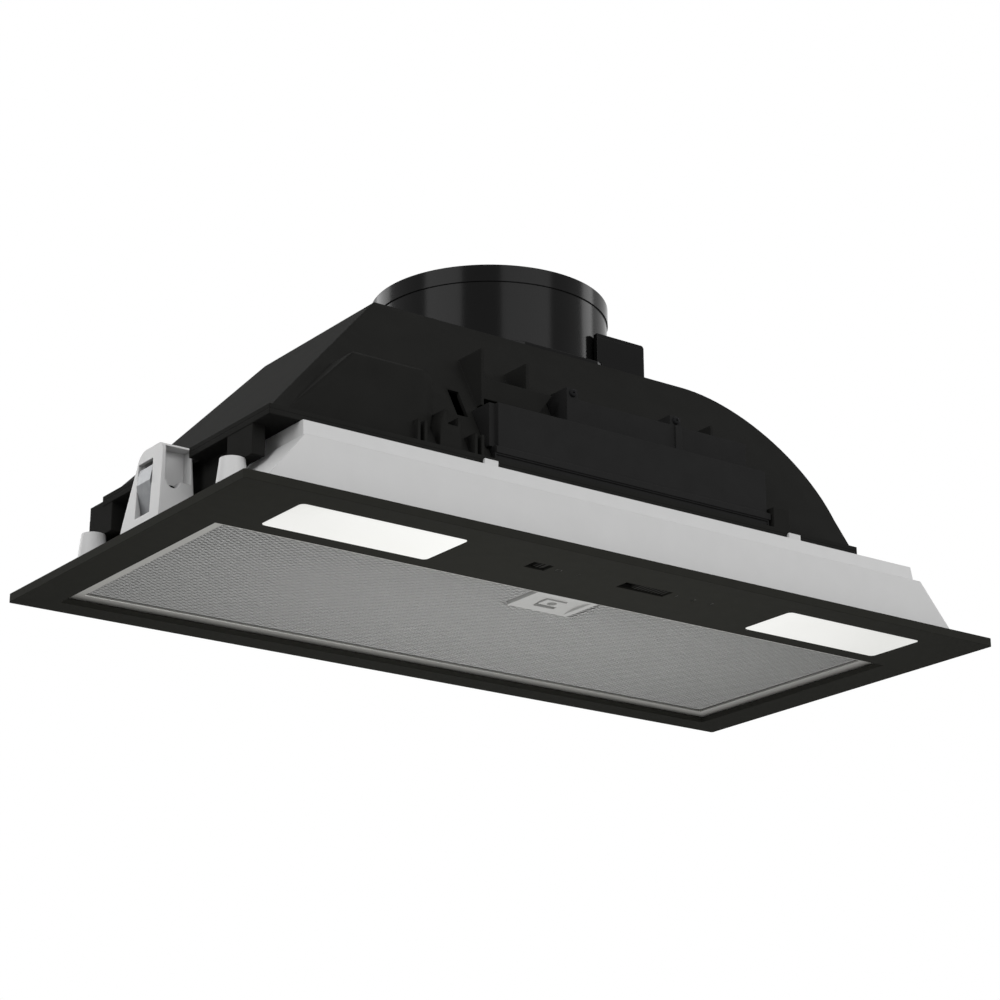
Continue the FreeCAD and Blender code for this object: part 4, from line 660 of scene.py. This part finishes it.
left, right, front, rear, seat = upright_screws("bracket_fix_screws", head_radius, head_height)
screw = pan_head_screw("bracket_screw", head_radius, head_height, shank_radius, shank_length=0.0155)
screws_at("bracket_fix_screws", screw, [(x, (front + rear) / 2, seat) for x in (left, right)])
bpy.data.objects.remove(screw)

# smaller ones round the collar's flange, one at each of four angles
head_radius = 0.00203
head_height = 0.0014
flange_circle = 0.07575
collar_y = 0.0254
left, right, front, rear, seat = upright_screws("collar_screws", head_radius, head_height)
shank_radius = 0.00105
screw = pan_head_screw("collar_screw", head_radius, head_height, shank_radius, shank_length=0.0070)
angles = [math.radians(degrees) for degrees in (0, 60, 135, 225)]
screws_at("collar_screws", screw, [
    (flange_circle * math.cos(angle), collar_y + flange_circle * math.sin(angle), seat) for angle in angles])
bpy.data.objects.remove(screw)

# two level ones through the upper cover
head_radius = 0.00232
head_height = 0.0016
low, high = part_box("cover_screws")
shank_radius = 0.0012
screw = pan_head_screw("cover_screw", head_radius, head_height, shank_radius, shank_length=0.0200)
screws_at("cover_screws", screw, [
    (x, low[1] + head_height, (low[2] + high[2]) / 2) for x in (low[0] + head_radius, high[0] - head_radius)],
    tilt=90)
bpy.data.objects.remove(screw)


# ---- Setting ----
# A pale floor, far enough below the hood to leave its underside in view, a white surround, and soft boxes
# that light it at a plain level.
floor_height = -2.6
floor_side = 40.0
bpy.ops.mesh.primitive_plane_add(size=1.0, location=(0, 0, floor_height))
floor = bpy.context.object
floor.name = "studio_floor"
floor.scale = (floor_side, floor_side, 1)

# matt emulsion paint: pale, with no gloss
pale_floor, shader, place = new_finish("pale_floor", "#E6E6E5", 0.8)
floor.data.materials.append(pale_floor)

# the surround lights the hood at a plain level, and is white to the camera, in gloss and through glass
light_level = 0.48
white_level = 1.0
world = bpy.data.worlds.new("studio")
bpy.context.scene.world = world
world.use_nodes = True
surround = world.node_tree.nodes["Background"]
rays = add(world, "ShaderNodeLightPath", {})
seen = add(world, "ShaderNodeMath", {
    "operation": "MAXIMUM", 0: rays.outputs["Is Camera Ray"], 1: rays.outputs["Is Glossy Ray"]})
seen = add(world, "ShaderNodeMath", {
    "operation": "MAXIMUM", 0: seen.outputs[0], 1: rays.outputs["Is Transmission Ray"]})
level = add(world, "ShaderNodeMapRange", {
    "Value": seen.outputs[0], "To Min": light_level, "To Max": white_level})
world.node_tree.links.new(level.outputs["Result"], surround.inputs["Strength"])
surround.inputs["Color"].default_value = linear("#FFFFFF")

# place, what it is aimed at, width, height and power in watts
for name, spot, target, width, height, power in (
        ("soft_box_front", (0.0, -1.85, 0.65), (0, 0, 0.05), 1.6, 1.0, 15.5),
        ("soft_box_left", (-1.85, -0.30, 0.75), (0, 0, 0.05), 1.2, 0.8, 12.0),
        ("soft_box_right", (1.80, -0.52, 0.80), (0, 0, 0.05), 0.55, 0.8, 5.5),
        ("soft_box_rear", (-0.64, 1.75, 0.80), (0, 0, 0.05), 0.9, 0.8, 7.0),
        ("soft_box_low", (-0.03, -0.09, -0.22), (-0.03, -0.06, 0), 0.42, 0.1, 0.4)):
    bpy.ops.object.light_add(type="AREA", location=spot)
    lamp = bpy.context.object
    lamp.name = name
    lamp.visible_camera = False
    lamp.data.shape = "RECTANGLE"
    lamp.data.size = width
    lamp.data.size_y = height
    lamp.data.energy = power
    lamp.rotation_euler = (Vector(target) - Vector(spot)).to_track_quat("-Z", "Y").to_euler()

bpy.context.scene.view_settings.view_transform = "Standard"
